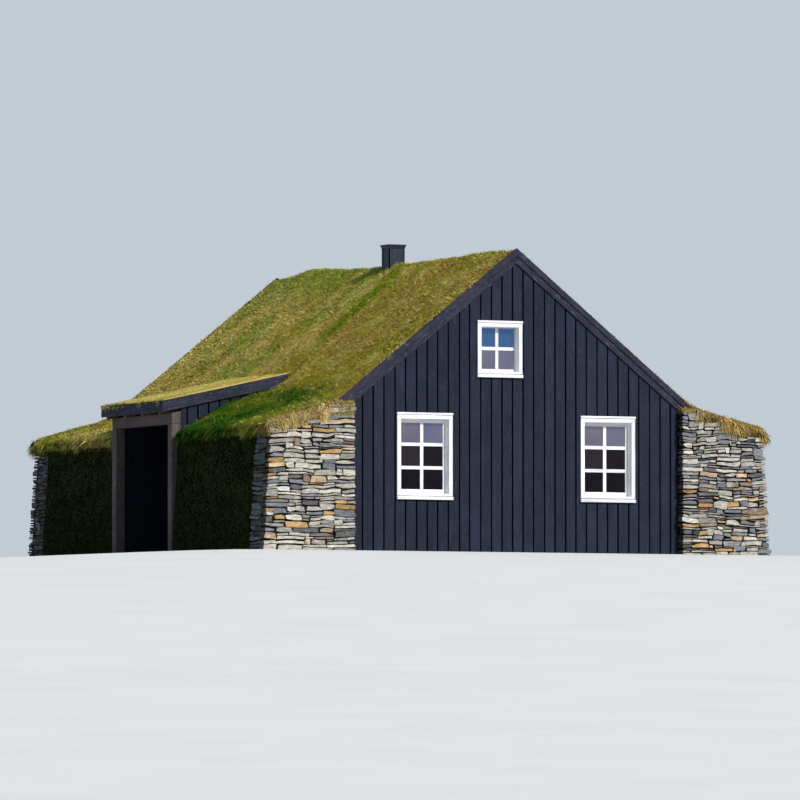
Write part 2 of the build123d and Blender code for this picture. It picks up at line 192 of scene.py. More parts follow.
def mesh_of_lists(name, points, faces):
    """Mesh of faces whose number of corners varies."""
    mesh = bpy.data.meshes.new(name)
    mesh.from_pydata(points.tolist(), [], faces)
    return mesh


def set_colour(mesh, colours, domain="POINT"):
    attribute = mesh.color_attributes.new("tint", "FLOAT_COLOR", domain)
    rows = np.ones((len(colours), 4), np.float32)
    rows[:, :3] = colours
    attribute.data.foreach_set("color", rows.ravel())


def set_attribute(mesh, name, values):
    """Attribute of the mesh's points, with one value or three in each row."""
    kind, field = ("FLOAT", "value") if values.ndim == 1 else ("FLOAT_VECTOR", "vector")
    attribute = mesh.attributes.new(name, kind, "POINT")
    attribute.data.foreach_set(field, values.astype(np.float32).ravel())


def inset(outline, distance):
    """Counter-clockwise outline moved in by a distance, with mitred corners."""
    before = outline - np.roll(outline, 1, 0)
    after = np.roll(outline, -1, 0) - outline

    def inward(edges):
        return np.stack([-edges[:, 1], edges[:, 0]], 1) / np.linalg.norm(edges, axis=1)[:, None]

    first, second = inward(before), inward(after)
    mitre = (first + second) / (1 + (first * second).sum(1))[:, None]
    return outline + distance * mitre


def rectangle(left, right, foot, head):
    return [(left, foot), (right, foot), (right, head), (left, head)]


GRAIN_SPREAD = 40       # each board takes its grain from a place of its own in this range


class Solids:
    """Boards, bars and blocks that become one mesh. Each has grain coordinates of its own,
    whose X runs along the grain, and a tone from 0 to 1."""

    def __init__(self, name):
        self.name = name
        self.dice = dice(name)
        self.points, self.faces, self.grain, self.tone = [], [], [], []
        self.count = 0

    def add(self, points, faces, grain, tone):
        self.faces += [tuple(self.count + i for i in face) for face in faces]
        self.points.append(points)
        self.grain.append(grain)
        self.tone.append(np.full(len(points), tone))
        self.count += len(points)

    def prism(self, outline, origin, across, up, thickness, chamfer=0.003, tone=None):
        """Board with its face in the plane of across and up, and the rest behind it."""
        outline = np.array(outline, float)
        x, y = outline.T
        if (x * np.roll(y, -1) - y * np.roll(x, -1)).sum() < 0:
            outline = outline[::-1]
        origin, across, up = (np.array(v, float) for v in (origin, across, up))
        out = np.cross(across, up)
        small = inset(outline, chamfer)
        layers = [(small, 0), (outline, chamfer), (outline, thickness - chamfer),
                  (small, thickness)]
        points = np.concatenate([origin + ring[:, :1] * across + ring[:, 1:] * up - depth * out
                                 for ring, depth in layers])
        sides = len(outline)
        faces = [tuple(range(sides)), tuple(range(4 * sides - 1, 3 * sides - 1, -1))]
        for ring in range(3):
            a, b = ring * sides, (ring + 1) * sides
            faces += [(a + i, b + i, b + (i + 1) % sides, a + (i + 1) % sides)
                      for i in range(sides)]
        size = outline.max(0) - outline.min(0)
        axes = (across, up, out) if size[0] > size[1] else (up, across, out)
        grain = np.stack([points @ axis for axis in axes], 1)
        grain = grain + self.dice.uniform(0, GRAIN_SPREAD, 3)
        self.add(points, faces, grain, self.dice.uniform(0, 1) if tone is None else tone)

    def finish(self, material, slot, node, turned=False):
        """Adds the piece, with turned after half a turn about the house's middle."""
        ways = -1 if turned else 1
        mesh = mesh_of_lists(self.name, np.concatenate(self.points) * (ways, ways, 1), self.faces)
        set_attribute(mesh, "grain", np.concatenate(self.grain))
        set_attribute(mesh, "tone", np.concatenate(self.tone))
        add_piece(self.name, mesh, material, [node])


# Materials
class Shading:
    """Node tree of a material, with short ways to add and join nodes."""

    def __init__(self, name, roughness, specular=0.5):
        self.material = bpy.data.materials.new(name)
        self.material.use_nodes = True
        self.tree = self.material.node_tree
        self.shader = self.tree.nodes["Principled BSDF"]
        self.shader.inputs["Roughness"].default_value = roughness
        self.shader.inputs["Specular IOR Level"].default_value = specular

    def node(self, kind, links, **settings):
        node = self.tree.nodes.new(kind)
        for key, value in settings.items():
            setattr(node, key, value)
        for socket, value in links.items():
            self.put(value, node.inputs[socket])
        return node

    def put(self, value, socket):
        if isinstance(value, bpy.types.NodeSocket):
            self.tree.links.new(value, socket)
        else:
            socket.default_value = value

    def place(self):
        return self.node("ShaderNodeTexCoord", {}).outputs["Object"]

    def attribute(self, name, output):
        return self.node("ShaderNodeAttribute", {}, attribute_name=name).outputs[output]

    def stretched(self, vector, scale):
        return self.node("ShaderNodeVectorMath", {0: vector, 1: scale},
                         operation="MULTIPLY").outputs[0]

    def noise(self, vector, scale, detail=4.0, roughness=0.55):
        links = {"Vector": vector, "Scale": scale, "Detail": detail, "Roughness": roughness}
        return self.node("ShaderNodeTexNoise", links).outputs["Fac"]

    def ramp(self, value, *stops):
        """Two colours given as (place, linear colour)."""
        node = self.node("ShaderNodeValToRGB", {"Fac": value})
        for element, (place, colour) in zip(node.color_ramp.elements, stops):
            element.position = place
            element.color = (*colour, 1)
        return node.outputs["Color"]

    def grey(self, value, *stops):
        return self.ramp(value, *[(place, (level,) * 3) for place, level in stops])

    def mix(self, share, first, second, blend="MIX"):
        node = self.node("ShaderNodeMix", {}, data_type="RGBA", blend_type=blend)
        for socket, value in ((0, share), (6, first), (7, second)):
            if isinstance(value, (tuple, np.ndarray)):
                value = (*value, 1)
            self.put(value, node.inputs[socket])
        return node.outputs[2]

    def shaded(self, colour, value, low, high, share=1.0):
        """The colour times a grey that follows the value between two stops (place, level)."""
        return self.mix(share, colour, self.grey(value, low, high), "MULTIPLY")

    def math(self, operation, *values):
        return self.node("ShaderNodeMath", dict(enumerate(values)), operation=operation).outputs[0]

    def bump(self, height, distance):
        node = self.node("ShaderNodeBump", {"Height": height, "Distance": distance})
        self.put(node.outputs[0], self.shader.inputs["Normal"])

    def finish(self, colour, roughness=None):
        self.put(colour, self.shader.inputs["Base Color"])
        if roughness is not None:
            self.put(roughness, self.shader.inputs["Roughness"])
        return self.material


SPECK_LIGHT = 3.2       # how much paler than the light wood its specks are


def timber(name, dark, light, roughness=0.7, grain_depth=0.0012, stains=0.35, specular=0.4,
           specks=0.0):
    """Sawn wood whose grain runs along X of the grain coordinates."""
    shading = Shading(name, roughness, specular)
    grain = shading.attribute("grain", "Vector")
    fibres = shading.noise(shading.stretched(grain, (1.1, 34.0, 34.0)), 1.6, 6.0, 0.6)
    streaks = shading.noise(shading.stretched(grain, (0.7, 9.0, 9.0)), 1.0, 3.0, 0.5)
    blotches = shading.noise(grain, 2.6, 5.0, 0.6)
    tone = shading.attribute("tone", "Fac")
    share = shading.math("MULTIPLY_ADD", tone, 0.45, shading.math("MULTIPLY", streaks, 0.6))
    colour = shading.mix(share, dark, light)
    colour = shading.shaded(colour, fibres, (0.3, 0.68), (0.7, 1.25))
    colour = shading.shaded(colour, blotches, (0.35, 0.55), (0.65, 1.3), stains)
    if specks:
        spots = shading.noise(shading.stretched(grain, (4.0, 20.0, 20.0)), 2.0, 5.0, 0.7)
        colour = shading.mix(shading.grey(spots, (0.56, 0.0), (0.70, specks)), colour,
                             SPECK_LIGHT * light)
    shading.bump(fibres, grain_depth)
    return shading.finish(colour, shading.math("MULTIPLY_ADD", fibres, 0.25, roughness - 0.12))


DARK_BOARDS = timber("dark_boards", linear(12, 16, 28), linear(33, 39, 57), grain_depth=0.0010,
                     stains=0.5, specular=0.15, specks=0.35)
DARK_TRIM = timber("dark_trim", linear(17, 18, 27), linear(50, 52, 68), 0.75, 0.0020, stains=0.8,
                   specular=0.15, specks=0.9)
RAW_TIMBER = timber("raw_timber", linear(60, 47, 36), linear(104, 84, 62), 0.75)
WEATHERED_TIMBER = timber("weathered_timber", linear(50, 44, 43), linear(100, 90, 87), 0.8,
                          0.0022, stains=0.6, specular=0.2, specks=0.3)
WHITE_PAINT = timber("white_paint", linear(190, 191, 195), linear(240, 239, 240), 0.5, 0.0003,
                     stains=0.05, specular=0.3)


def planks(name, dark, light, width):
    """Floor or roof boards that run along Y, drawn on a plain slab."""
    shading = Shading(name, 0.6)
    place = shading.place()
    turned = shading.node("ShaderNodeMapping", {"Vector": place,
                                                "Rotation": (0, 0, pi / 2)}).outputs[0]
    bricks = shading.node("ShaderNodeTexBrick", {
        "Vector": turned, "Color1": (0, 0, 0, 1), "Color2": (1, 1, 1, 1),
        "Mortar": (0, 0, 0, 1), "Scale": 1.0, "Mortar Size": 0.003, "Brick Width": 2.4,
        "Row Height": width})
    fibres = shading.noise(shading.stretched(place, (30.0, 1.2, 30.0)), 1.4, 6.0, 0.6)
    colour = shading.mix(bricks.outputs["Color"], dark, light)
    colour = shading.shaded(colour, fibres, (0.3, 0.7), (0.7, 1.2))
    joint = shading.math("SUBTRACT", 1.0, bricks.outputs["Fac"])
    colour = shading.mix(bricks.outputs["Fac"], colour, (0.01, 0.008, 0.006))
    shading.bump(shading.math("MULTIPLY_ADD", joint, 1.0, shading.math("MULTIPLY", fibres, 0.15)),
                 0.004)
    return shading.finish(colour)


FLOOR_BOARDS = planks("floor_boards", linear(96, 72, 48), linear(134, 102, 70), 0.14)
DECK_BOARDS = planks("deck_boards", linear(64, 50, 38), linear(98, 78, 58), 0.16)


def ledge_stone():
    shading = Shading("ledge_stone", 0.85, 0.3)
    place = shading.place()
    layers = shading.noise(shading.stretched(place, (9.0, 9.0, 38.0)), 1.3, 6.0, 0.62)
    grit = shading.noise(place, 55.0, 8.0, 0.7)
    lichen = shading.noise(place, 9.0, 6.0, 0.65)
    colour = shading.shaded(shading.attribute("tint", "Color"), layers, (0.32, 0.45), (0.68, 1.34))
    colour = shading.shaded(colour, grit, (0.3, 0.72), (0.7, 1.2))
    colour = shading.mix(shading.grey(lichen, (0.60, 0.0), (0.72, 0.4)), colour,
                         linear(196, 196, 184))
    shading.bump(shading.math("MULTIPLY_ADD", grit, 0.35, layers), 0.007)
    return shading.finish(colour)


def turf_ground():
    """Matted roots and moss that show between the blades."""
    shading = Shading("turf_ground", 0.95, 0.1)
    place = shading.place()
    tufts = shading.noise(place, 26.0, 6.0, 0.7)
    colour = shading.shaded(shading.attribute("tint", "Color"), tufts, (0.3, 0.55), (0.7, 1.2))
    shading.bump(tufts, 0.03)
    return shading.finish(colour)


def grass_blades():
    """Blades lit from both sides, the way that the turf under them is."""
    shading = Shading("grass_blades", 0.8, 0.1)
    shading.material.cycles.use_bump_map_correction = False
    streaks = shading.noise(shading.place(), 40.0, 3.0)
    colour = shading.shaded(shading.attribute("tint", "Color"), streaks, (0.3, 0.9), (0.7, 1.08))
    shading.put(shading.attribute("lean", "Vector"), shading.shader.inputs["Normal"])
    return shading.finish(colour)


def pane_glass():
    """Panes with a dark base colour, painted shade of the room behind, that let the room show,
    and mirror the sky where their tone is high, with a painted sky reflection: grey at tone 1 and
    blue at 2."""
    shading = Shading("pane_glass", 0.06, 0.35)
    tone = shading.attribute("tone", "Fac")
    # painted reflection: a cloudy lilac sky, and blue sky where the tone passes 1, is painted into
    # the panes' base colour
    painted_clouds = shading.noise(shading.place(), 1.7, 3.0, 0.5)
    painted_sky_reflection = shading.ramp(painted_clouds, (0.38, linear(174, 158, 172)), (0.62, linear(192, 172, 184)))
    colour = shading.mix(tone, linear(20, 14, 19), painted_sky_reflection)
    painted_blue_sky = shading.math("SUBTRACT", tone, 1.0)
    colour = shading.mix(painted_blue_sky, colour, linear(98, 138, 184))
    mirror = shading.math("MULTIPLY", shading.math("MINIMUM", tone, 1.0), 0.9)
    shading.put(mirror, shading.shader.inputs["Metallic"])
    shading.put(shading.math("MULTIPLY_ADD", tone, 0.3, 0.55), shading.shader.inputs["Alpha"])
    return shading.finish(colour)


def chimney_sheet():
    shading = Shading("chimney_metal", 0.5, 0.25)
    place = shading.place()
    runs = shading.noise(shading.stretched(place, (14.0, 14.0, 1.5)), 2.0, 5.0, 0.6)
    specks = shading.noise(place, 30.0, 5.0, 0.6)
    colour = shading.ramp(runs, (0.3, linear(21, 29, 42)), (0.7, linear(38, 47, 64)))
    colour = shading.shaded(colour, specks, (0.35, 0.7), (0.65, 1.2), 0.5)
    shading.bump(specks, 0.0006)
    return shading.finish(colour, shading.math("MULTIPLY_ADD", runs, 0.3, 0.35))


LEDGE_STONE = ledge_stone()
TURF_GROUND = turf_ground()
GRASS = grass_blades()
GLASS = pane_glass()
CHIMNEY_METAL = chimney_sheet()

# Boarded walls: upright boards with open joints over a dark backing
BOARD_PITCH = 0.200
BOARD_GAP = 0.026
BOARD_T = 0.022
BOARD_T_SPREAD = 0.003
BOARD_FOOT_Z = 0.004
JOINT_STRAY = 0.004     # of a joint from its even place
FIRST_JOINT_X = -2.864
FIRST_PORCH_BOARD = {-1: 0.12, 1: 0.09}     # width on the front and the rear end
FIRST_DOOR_WALL_BOARD = 0.15
HOLE_COVER = 0.030      # how far window casings and door frames cover the cut boards
BACKING_DEPTH = 0.040
BACKING_TONE = -3.0
# Windows of a gable: rows of lights, and the sash's stile, top rail and bottom rail
MAIN_SASH, ATTIC_SASH = (3, 0.048, 0.062, 0.072), (2, 0.018, 0.014, 0.042)
GABLE_WINDOWS = {"left_window": MAIN_SASH, "right_window": MAIN_SASH, "attic_window": ATTIC_SASH}


def add_backing(solids, node, axis, face):
    """The CAD wall with its outer face set back behind the boards."""
    points = points_of(node)
    outer = abs(points[:, axis] - face) < NEAR
    points[outer, axis] -= np.sign(face) * BACKING_DEPTH
    solids.add(points, faces_of(node), points[:, [2, 0, 1]], BACKING_TONE)


def board_outlines(left, right, top, holes):
    """Outlines of one upright board, cut round a hole. top gives the height at a place."""
    foot = [(left, BOARD_FOOT_Z), (right, BOARD_FOOT_Z)]
    head = [(right, top(right)), (left, top(left))]
    if left < 0 < right and top(0) > max(top(left), top(right)):
        head.insert(1, (0, top(0)))
    for hole_left, hole_right, hole_foot, hole_head in holes:
        if right <= hole_left or left >= hole_right:
            continue
        if hole_left <= left and right <= hole_right:
            above = [(left, hole_head), (right, hole_head)] + head
            below = foot + [(right, hole_foot), (left, hole_foot)]
            return [above] if hole_foot <= BOARD_FOOT_Z else [below, above]
        hole = rectangle(hole_left, hole_right, hole_foot, hole_head)
        if hole_left > left:
            return [foot + [(right, hole_foot), hole[0], hole[3], (right, hole_head)] + head]
        return [foot + head + [(left, hole_head), hole[2], hole[1], (left, hole_foot)]]
    return [foot + head]


def add_boards(solids, start, end, first_joint, top, holes, origin, across):
    joints = np.arange(first_joint, end - BOARD_GAP, BOARD_PITCH)
    joints = joints + solids.dice.uniform(-JOINT_STRAY, JOINT_STRAY, len(joints))
    edges = [start - BOARD_GAP / 2, *joints, end + BOARD_GAP / 2]
    for left, right in zip(edges[:-1], edges[1:]):
        half_gap = BOARD_GAP / 2 * solids.dice.uniform(0.8, 1.2)
        tone = solids.dice.uniform(0.2, 0.8)
        for outline in board_outlines(left + half_gap, right - half_gap, top, holes):
            solids.prism(outline, origin, across, (0, 0, 1),
                         BOARD_T - solids.dice.uniform(0, BOARD_T_SPREAD), tone=tone)


def gable(turned):
    node = "back_wall" if turned else "front_wall"
    solids = Solids(node + "_boards")
    holes = []
    for window_name in GABLE_WINDOWS:
        low, high = corners("front_" + window_name)
        holes.append((low[0] + HOLE_COVER, high[0] - HOLE_COVER,
                      low[2] + HOLE_COVER, high[2] - HOLE_COVER))
    add_boards(solids, -TIMBER_X, TIMBER_X, FIRST_JOINT_X,
               lambda x: WALL_APEX_Z - ROOF_SLOPE * abs(x), holes, (0, FRONT, 0), (1, 0, 0))
    add_backing(solids, "front_wall", 1, FRONT)
    solids.finish(DARK_BOARDS, "dark_boards", node, turned)


def porch_end(node, side):
    """Boarded end of the porch. side is -1 for the front one and 1 for the rear one."""
    solids = Solids(node + "_boards")
    low, high = corners(node)
    co = points_of(node)
    eave_top = top_at(node, low[0])
    knee_x = co[co[:, 2] > high[2] - NEAR, 0].min()

    def top(x):
        x = abs(x)
        rise = eave_top + PORCH_SLOPE * (-low[0] - x)
        return min(rise, high[2] - ROOF_SLOPE * max(0, x + knee_x) if x < -knee_x else rise)

    start, end = (low[0], -TIMBER_X) if side < 0 else (TIMBER_X, -low[0])
    add_boards(solids, start, end, start + FIRST_PORCH_BOARD[side], top, [],
               (0, side * PORCH_END, 0), (-side, 0, 0))
    add_backing(solids, node, 1, side * PORCH_END)
    solids.finish(DARK_BOARDS, "dark_boards", node)


def left_wall():
    """Boards only where the porch shows them, round the door."""
    solids = Solids("left_wall_boards")
    low, high = corners("porch_front_wall")
    inside = PORCH_END - (high[1] - low[1])
    ceiling = corners("porch_ledger")[0][2]
    low, high = corners("door_frame")
    hole = (low[1] + HOLE_COVER, high[1] - HOLE_COVER, 0, high[2] - HOLE_COVER)
    add_boards(solids, -inside, inside, -inside + FIRST_DOOR_WALL_BOARD, lambda y: ceiling,
               [hole], (-TIMBER_X, 0, 0), (0, -1, 0))
    add_backing(solids, "left_wall", 0, -TIMBER_X)
    solids.finish(DARK_BOARDS, "dark_boards", "left_wall")


# Windows: casing, drip cap, sill, lining, sash with bars, and a pane in each light
CASING_INSET = 0.018    # of the left casing from the left side of its node
CASING_W = 0.070
CASING_T = 0.028
CAP_H = 0.036
CAP_T = 0.042
HEAD_H = 0.105          # casing and cap together
SILL_H = 0.054
SILL_T = 0.046
GROOVE_H = 0.012
APRON_H = 0.102         # up to the top of the bottom casing
LINING_FACE = 0.076     # from the outer edge to the lining's inner face
LINING_T = 0.022
LINING_PAINTED_LIGHT = 2.0       # painted light: the linings, which stand in the reveals' shade, get the palest of the paintwork
REVEAL = 0.095
OVERHANG = 0.006        # of the cap and the sill past the casing
GROOVE_INSET = 0.004
GROOVE_T = 0.008
JOINT = 0.002           # between the pieces of the casing
SASH_T = 0.045
BAR_W = 0.057
UPRIGHT_SET_BACK = 0.006
CROSS_BAR_SET_BACK = 0.008
PANE_T = 0.004
PANE_LAP = 0.004


def window(node, sash_sizes, turned, panes):
    solids = Solids(node + "_joinery")
    rows, stile, top_rail, bottom_rail = sash_sizes
    low, high = corners(node.replace("back_", "front_"))
    low[0] += CASING_INSET
    width, height = high[0] - low[0], high[2] - low[2]

    def bar(left, right, foot, head, front, back, into=solids, **settings):
        """front and back are depths behind the wall face."""
        into.prism(rectangle(left, right, foot, head), (low[0], FRONT + front, low[2]),
                   (1, 0, 0), (0, 0, 1), back - front, **settings)

    bar(-OVERHANG, width + OVERHANG, height - CAP_H, height, -CAP_T, 0, chamfer=0.004)
    bar(0, width, height - HEAD_H, height - CAP_H - JOINT, -CASING_T, 0)
    bar(0, CASING_W, APRON_H, height - HEAD_H, -CASING_T, 0)
    bar(width - CASING_W, width, APRON_H, height - HEAD_H, -CASING_T, 0)
    bar(0, width, SILL_H + GROOVE_H, APRON_H, -CASING_T, 0)
    bar(GROOVE_INSET, width - GROOVE_INSET, SILL_H, SILL_H + GROOVE_H, -GROOVE_T, 0,
        chamfer=0.001)
    bar(-OVERHANG, width + OVERHANG, 0, SILL_H, -SILL_T, 0, chamfer=0.005)

    foot, head = APRON_H + JOINT, height - HEAD_H - JOINT / 2
    left, right = LINING_FACE, width - LINING_FACE
    for sides in ((left - LINING_T, left, foot - LINING_T, head + LINING_T),
                  (right, right + LINING_T, foot - LINING_T, head + LINING_T),
                  (left, right, foot - LINING_T, foot), (left, right, head, head + LINING_T)):
        bar(*sides, 0, WALL_T, chamfer=0.002, tone=LINING_PAINTED_LIGHT)

    sash = (REVEAL, REVEAL + SASH_T)
    bar(left, left + stile, foot, head, *sash)
    bar(right - stile, right, foot, head, *sash)
    left, right = left + stile, right - stile
    light_foot, light_head = foot + bottom_rail, head - top_rail
    bar(left, right, foot, light_foot, *sash)
    bar(left, right, light_head, head, *sash)
    centre = (left + right) / 2
    bar(centre - BAR_W / 2, centre + BAR_W / 2, light_foot, light_head,
        REVEAL + UPRIGHT_SET_BACK, REVEAL + SASH_T - UPRIGHT_SET_BACK)
    light_height = (light_head - light_foot - (rows - 1) * BAR_W) / rows
    for row in range(rows):
        pane_foot = light_foot + row * (light_height + BAR_W)
        if row:
            bar(left, right, pane_foot - BAR_W, pane_foot, REVEAL + CROSS_BAR_SET_BACK,
                REVEAL + SASH_T - CROSS_BAR_SET_BACK)
        for column, (a, b) in enumerate([(left, centre), (centre, right)]):
            bar(a - PANE_LAP, b + PANE_LAP, pane_foot - PANE_LAP,
                pane_foot + light_height + PANE_LAP, REVEAL + SASH_T / 2,
                REVEAL + SASH_T / 2 + PANE_T, into=panes, chamfer=0.0005,
                tone=pane_reflection_tone(row, rows, column))
    solids.finish(WHITE_PAINT, "white_paint", node, turned)


def pane_reflection_tone(row, rows, column):
    """Painted sky reflection of a pane: strong in the top row, none in the bottom one."""
    if rows == 2:
        return (1.20, 1.95)[row]
    return (0.0, 0.04 - 0.03 * column, 0.98 + 0.22 * column)[row]


def gable_windows(turned):
    side = "back_" if turned else "front_"
    panes = Solids(side + "window_panes")
    for name, sash_sizes in GABLE_WINDOWS.items():
        window(side + name, sash_sizes, turned, panes)
    panes.finish(GLASS, "window_glass", side + "window_glass", turned)


# CAD pieces with softened edges and grain
SAME_CORNER = 0.00002
FLAT, SHARP = radians(1), radians(20)
MIDDLE_TONE = 0.5


def dressed(node, material, along, chamfer=0.004):
    """Copy of a CAD piece with its edges softened and grain that runs along a direction."""
    work = bmesh.new()
    work.from_mesh(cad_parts[node].data)
    bmesh.ops.remove_doubles(work, verts=work.verts, dist=SAME_CORNER)
    bmesh.ops.dissolve_limit(work, angle_limit=FLAT, verts=work.verts, edges=work.edges)
    sharp = [edge for edge in work.edges if edge.is_manifold and edge.calc_face_angle() > SHARP]
    bmesh.ops.bevel(work, geom=sharp, offset=chamfer, segments=1, affect="EDGES",
                    clamp_overlap=True)
    mesh = bpy.data.meshes.new(node + "_dressed")
    work.to_mesh(mesh)
    work.free()
    co = mesh_points(mesh)
    along = np.array(along, float)
    side = np.cross(along, (0, 1, 0) if abs(along[1]) < 0.9 else (0, 0, 1))
    side /= np.linalg.norm(side)
    axes = np.stack([along, side, np.cross(along, side)])
    set_attribute(mesh, "grain", co @ axes.T + dice(node).uniform(0, GRAIN_SPREAD, 3))
    set_attribute(mesh, "tone", np.full(len(co), MIDDLE_TONE))
    add_piece(mesh.name, mesh, material, [node])


def trim():
    """Bargeboards, and the timber of the porch and of the door frame."""
    for name in ("front_right", "front_left", "back_left", "back_right"):
        side = 1 if "right" in name else -1
        dressed(name + "_bargeboard", DARK_TRIM,
                (side * cos(ROOF_ANGLE), 0, -sin(ROOF_ANGLE)))
    porch_down = (-cos(PORCH_ANGLE), 0, -sin(PORCH_ANGLE))
    dressed("porch_front_bargeboard", DARK_TRIM, porch_down)
    dressed("porch_rear_bargeboard", DARK_TRIM, porch_down)
    dressed("porch_fascia", DARK_TRIM, (0, 1, 0))
    dressed("porch_posts", WEATHERED_TIMBER, (0, 0, 1), 0.008)
    dressed("porch_beam", WEATHERED_TIMBER, (0, 1, 0), 0.008)
    dressed("porch_rafters", RAW_TIMBER, porch_down)
    dressed("porch_ledger", RAW_TIMBER, (0, 1, 0))
    dressed("door_frame", WHITE_PAINT, (0, 0, 1), 0.003)


# Porch door of upright planks on the CAD slab's place
DOOR_PLANK_W = 0.125
DOOR_PLANK_FOOT = 0.005
DOOR_CHAMFER = 0.005
HANDLE_Z = 1.15
HANDLE_BACK = 0.002
# Handle plate and lever: distance from the door's side, half width, height over HANDLE_Z,
# half height, and how far it stands out
HANDLE_PIECES = (0.09, 0.02, 0.0, 0.08, 0.006), (0.14, 0.06, 0.03, 0.010, 0.045)


def door():
    solids = Solids("door_planks")
    low, high = corners("door")
    count = round((high[1] - low[1]) / DOOR_PLANK_W)
    plank = (high[1] - low[1]) / count
    for i in range(count):
        left = -high[1] + i * plank
        solids.prism(rectangle(left, left + plank, low[2] + DOOR_PLANK_FOOT, high[2]),
                     (low[0], 0, 0), (0, -1, 0), (0, 0, 1), high[0] - low[0],
                     chamfer=DOOR_CHAMFER)
    for across, half_width, up, half_height, out in HANDLE_PIECES:
        middle, z = -(low[1] + across), HANDLE_Z + up
        outline = rectangle(middle - half_width, middle + half_width, z - half_height,
                            z + half_height)
        solids.prism(outline, (low[0] - out, 0, 0), (0, -1, 0), (0, 0, 1), out + HANDLE_BACK,
                     chamfer=HANDLE_BACK)
    solids.finish(DARK_TRIM, "dark_trim", "door")


# Chimney: sheet shaft with folded corners, and a flared cap
FOLD_W = 0.045          # of the sheet round each corner of the shaft
PANEL_SET_BACK = 0.006  # of the flat sheets between the folded corners
SHEET_T = 0.02
CAP_PLATE_T = 0.022
FLARE_SETS = 0.008, 0.004   # how far the flare is inside the plate and outside the shaft


def chimney():
    low, high = corners("chimney_shaft")
    half = high[0]
    shaft = Solids("chimney_sheets")
    for across in ((1, 0, 0), (0, 1, 0), (-1, 0, 0), (0, -1, 0)):
        out = np.cross(across, (0, 0, 1))
        for left, right, set_back in ((-half, -half + FOLD_W, 0.0), (half - FOLD_W, half, 0.0),
                                      (-half + FOLD_W, half - FOLD_W, PANEL_SET_BACK)):
            shaft.prism(rectangle(left, right, low[2], high[2]), out * (half - set_back), across,
                        (0, 0, 1), SHEET_T, chamfer=0.002)
    shaft.finish(CHIMNEY_METAL, "chimney_metal", "chimney_shaft")

    low, high = corners("chimney_cap")
    wide = high[0]
    cap = Solids("chimney_cap_plates")
    cap.prism(rectangle(-wide, wide, -wide, wide), (0, 0, high[2]), (1, 0, 0), (0, 1, 0),
              CAP_PLATE_T, chamfer=0.003)
    points = np.array([(x, y, z) for z, reach in ((high[2] - CAP_PLATE_T, wide - FLARE_SETS[0]),
                                                  (low[2], half + FLARE_SETS[1]))
                       for x, y in rectangle(-reach, reach, -reach, reach)])
    faces = [(0, 1, 2, 3), (7, 6, 5, 4)]
    faces += [(i, 4 + i, 4 + (i + 1) % 4, (i + 1) % 4) for i in range(4)]
    cap.add(points, faces, points, MIDDLE_TONE)
    cap.finish(CHIMNEY_METAL, "chimney_metal", "chimney_cap")


# Dry stone ends, laid stone by stone
STONE_GAP = 0.014
STONE_DEPTH = 0.205
STONE_BEVEL = 0.007
LEAST_STONE = 0.02      # height that the joints leave of the thinnest stone
# Least height and length of a stone and how much more it may have, left end and right end
STONE_SIZES = (0.040, 0.100, 0.18, 0.44), (0.034, 0.078, 0.14, 0.38)
# painted shade in the joints: the front's rim of each stone is darkened, its sides and back far
# more
RIM_PAINTED_SHADE, SIDE_PAINTED_SHADE = 0.66, 0.22
STONE_RISE = 0.05, 0.01     # how far the top stones stand up into the turf, left and right
PATTERN_STEP = 0.02
LEAST_CELLS = 6
LEVEL_ENOUGH = 0.010    # steps under a stone that it still bridges
LEAST_ROOM = 0.03       # a place with less height left gets no stone
BIG_SHARE, BIG_HEIGHTS = 0.05, (0.10, 0.15)
STEP_HEIGHTS = 0.03, 0.13   # steps beside a stone that it may be laid level with
STONE_ROWS, STONE_COLUMNS = 4, 6
INDEX = np.arange(STONE_ROWS * STONE_COLUMNS).reshape(STONE_ROWS, STONE_COLUMNS)
RIM = np.concatenate([INDEX[0], INDEX[1:, -1], INDEX[-1, -2::-1], INDEX[-2:0:-1, 0]]).tolist()
# Share of the left end, share of the right end, and tint: four greys, then three warm ones
STONE_TINTS = [(0.44, 0.20, linear(182, 177, 166)), (0.22, 0.27, linear(152, 148, 140)),
               (0.11, 0.20, linear(118, 120, 126)), (0.06, 0.10, linear(88, 87, 88)),
               (0.08, 0.10, linear(176, 156, 126)), (0.07, 0.09, linear(174, 138, 90)),
               (0.02, 0.04, linear(128, 106, 88))]
GREYS = 4
WARM_BELOW = 1.45       # height under which the right end has its warm stones
LONG_SIDE_PAINTED_SHADE = np.array((0.20, 0.25, 0.29))     # painted shade: darker stones on the long side, beside the turf
# Height and length of the waves in the courses, and reach and length of the lean of the joints
LONG_WAVE, SHORT_WAVE, JOINT_LEAN = (0.055, 0.45), (0.034, 0.20), (0.060, 0.16)
FACE_RELIEF, FACE_SET_BACK, FACE_ROUGHNESS = 0.036, 0.008, 0.006
MOST_TILT = 0.012
# painted shade: the core behind the stones, which shows in the joints, is painted near black
CORE_PAINTED_SHADE = linear(22, 20, 18)
CORE_INSET, CORE_DROP, CORE_FRONT = 0.05, 0.045, 0.06   # of the dark core behind the stones


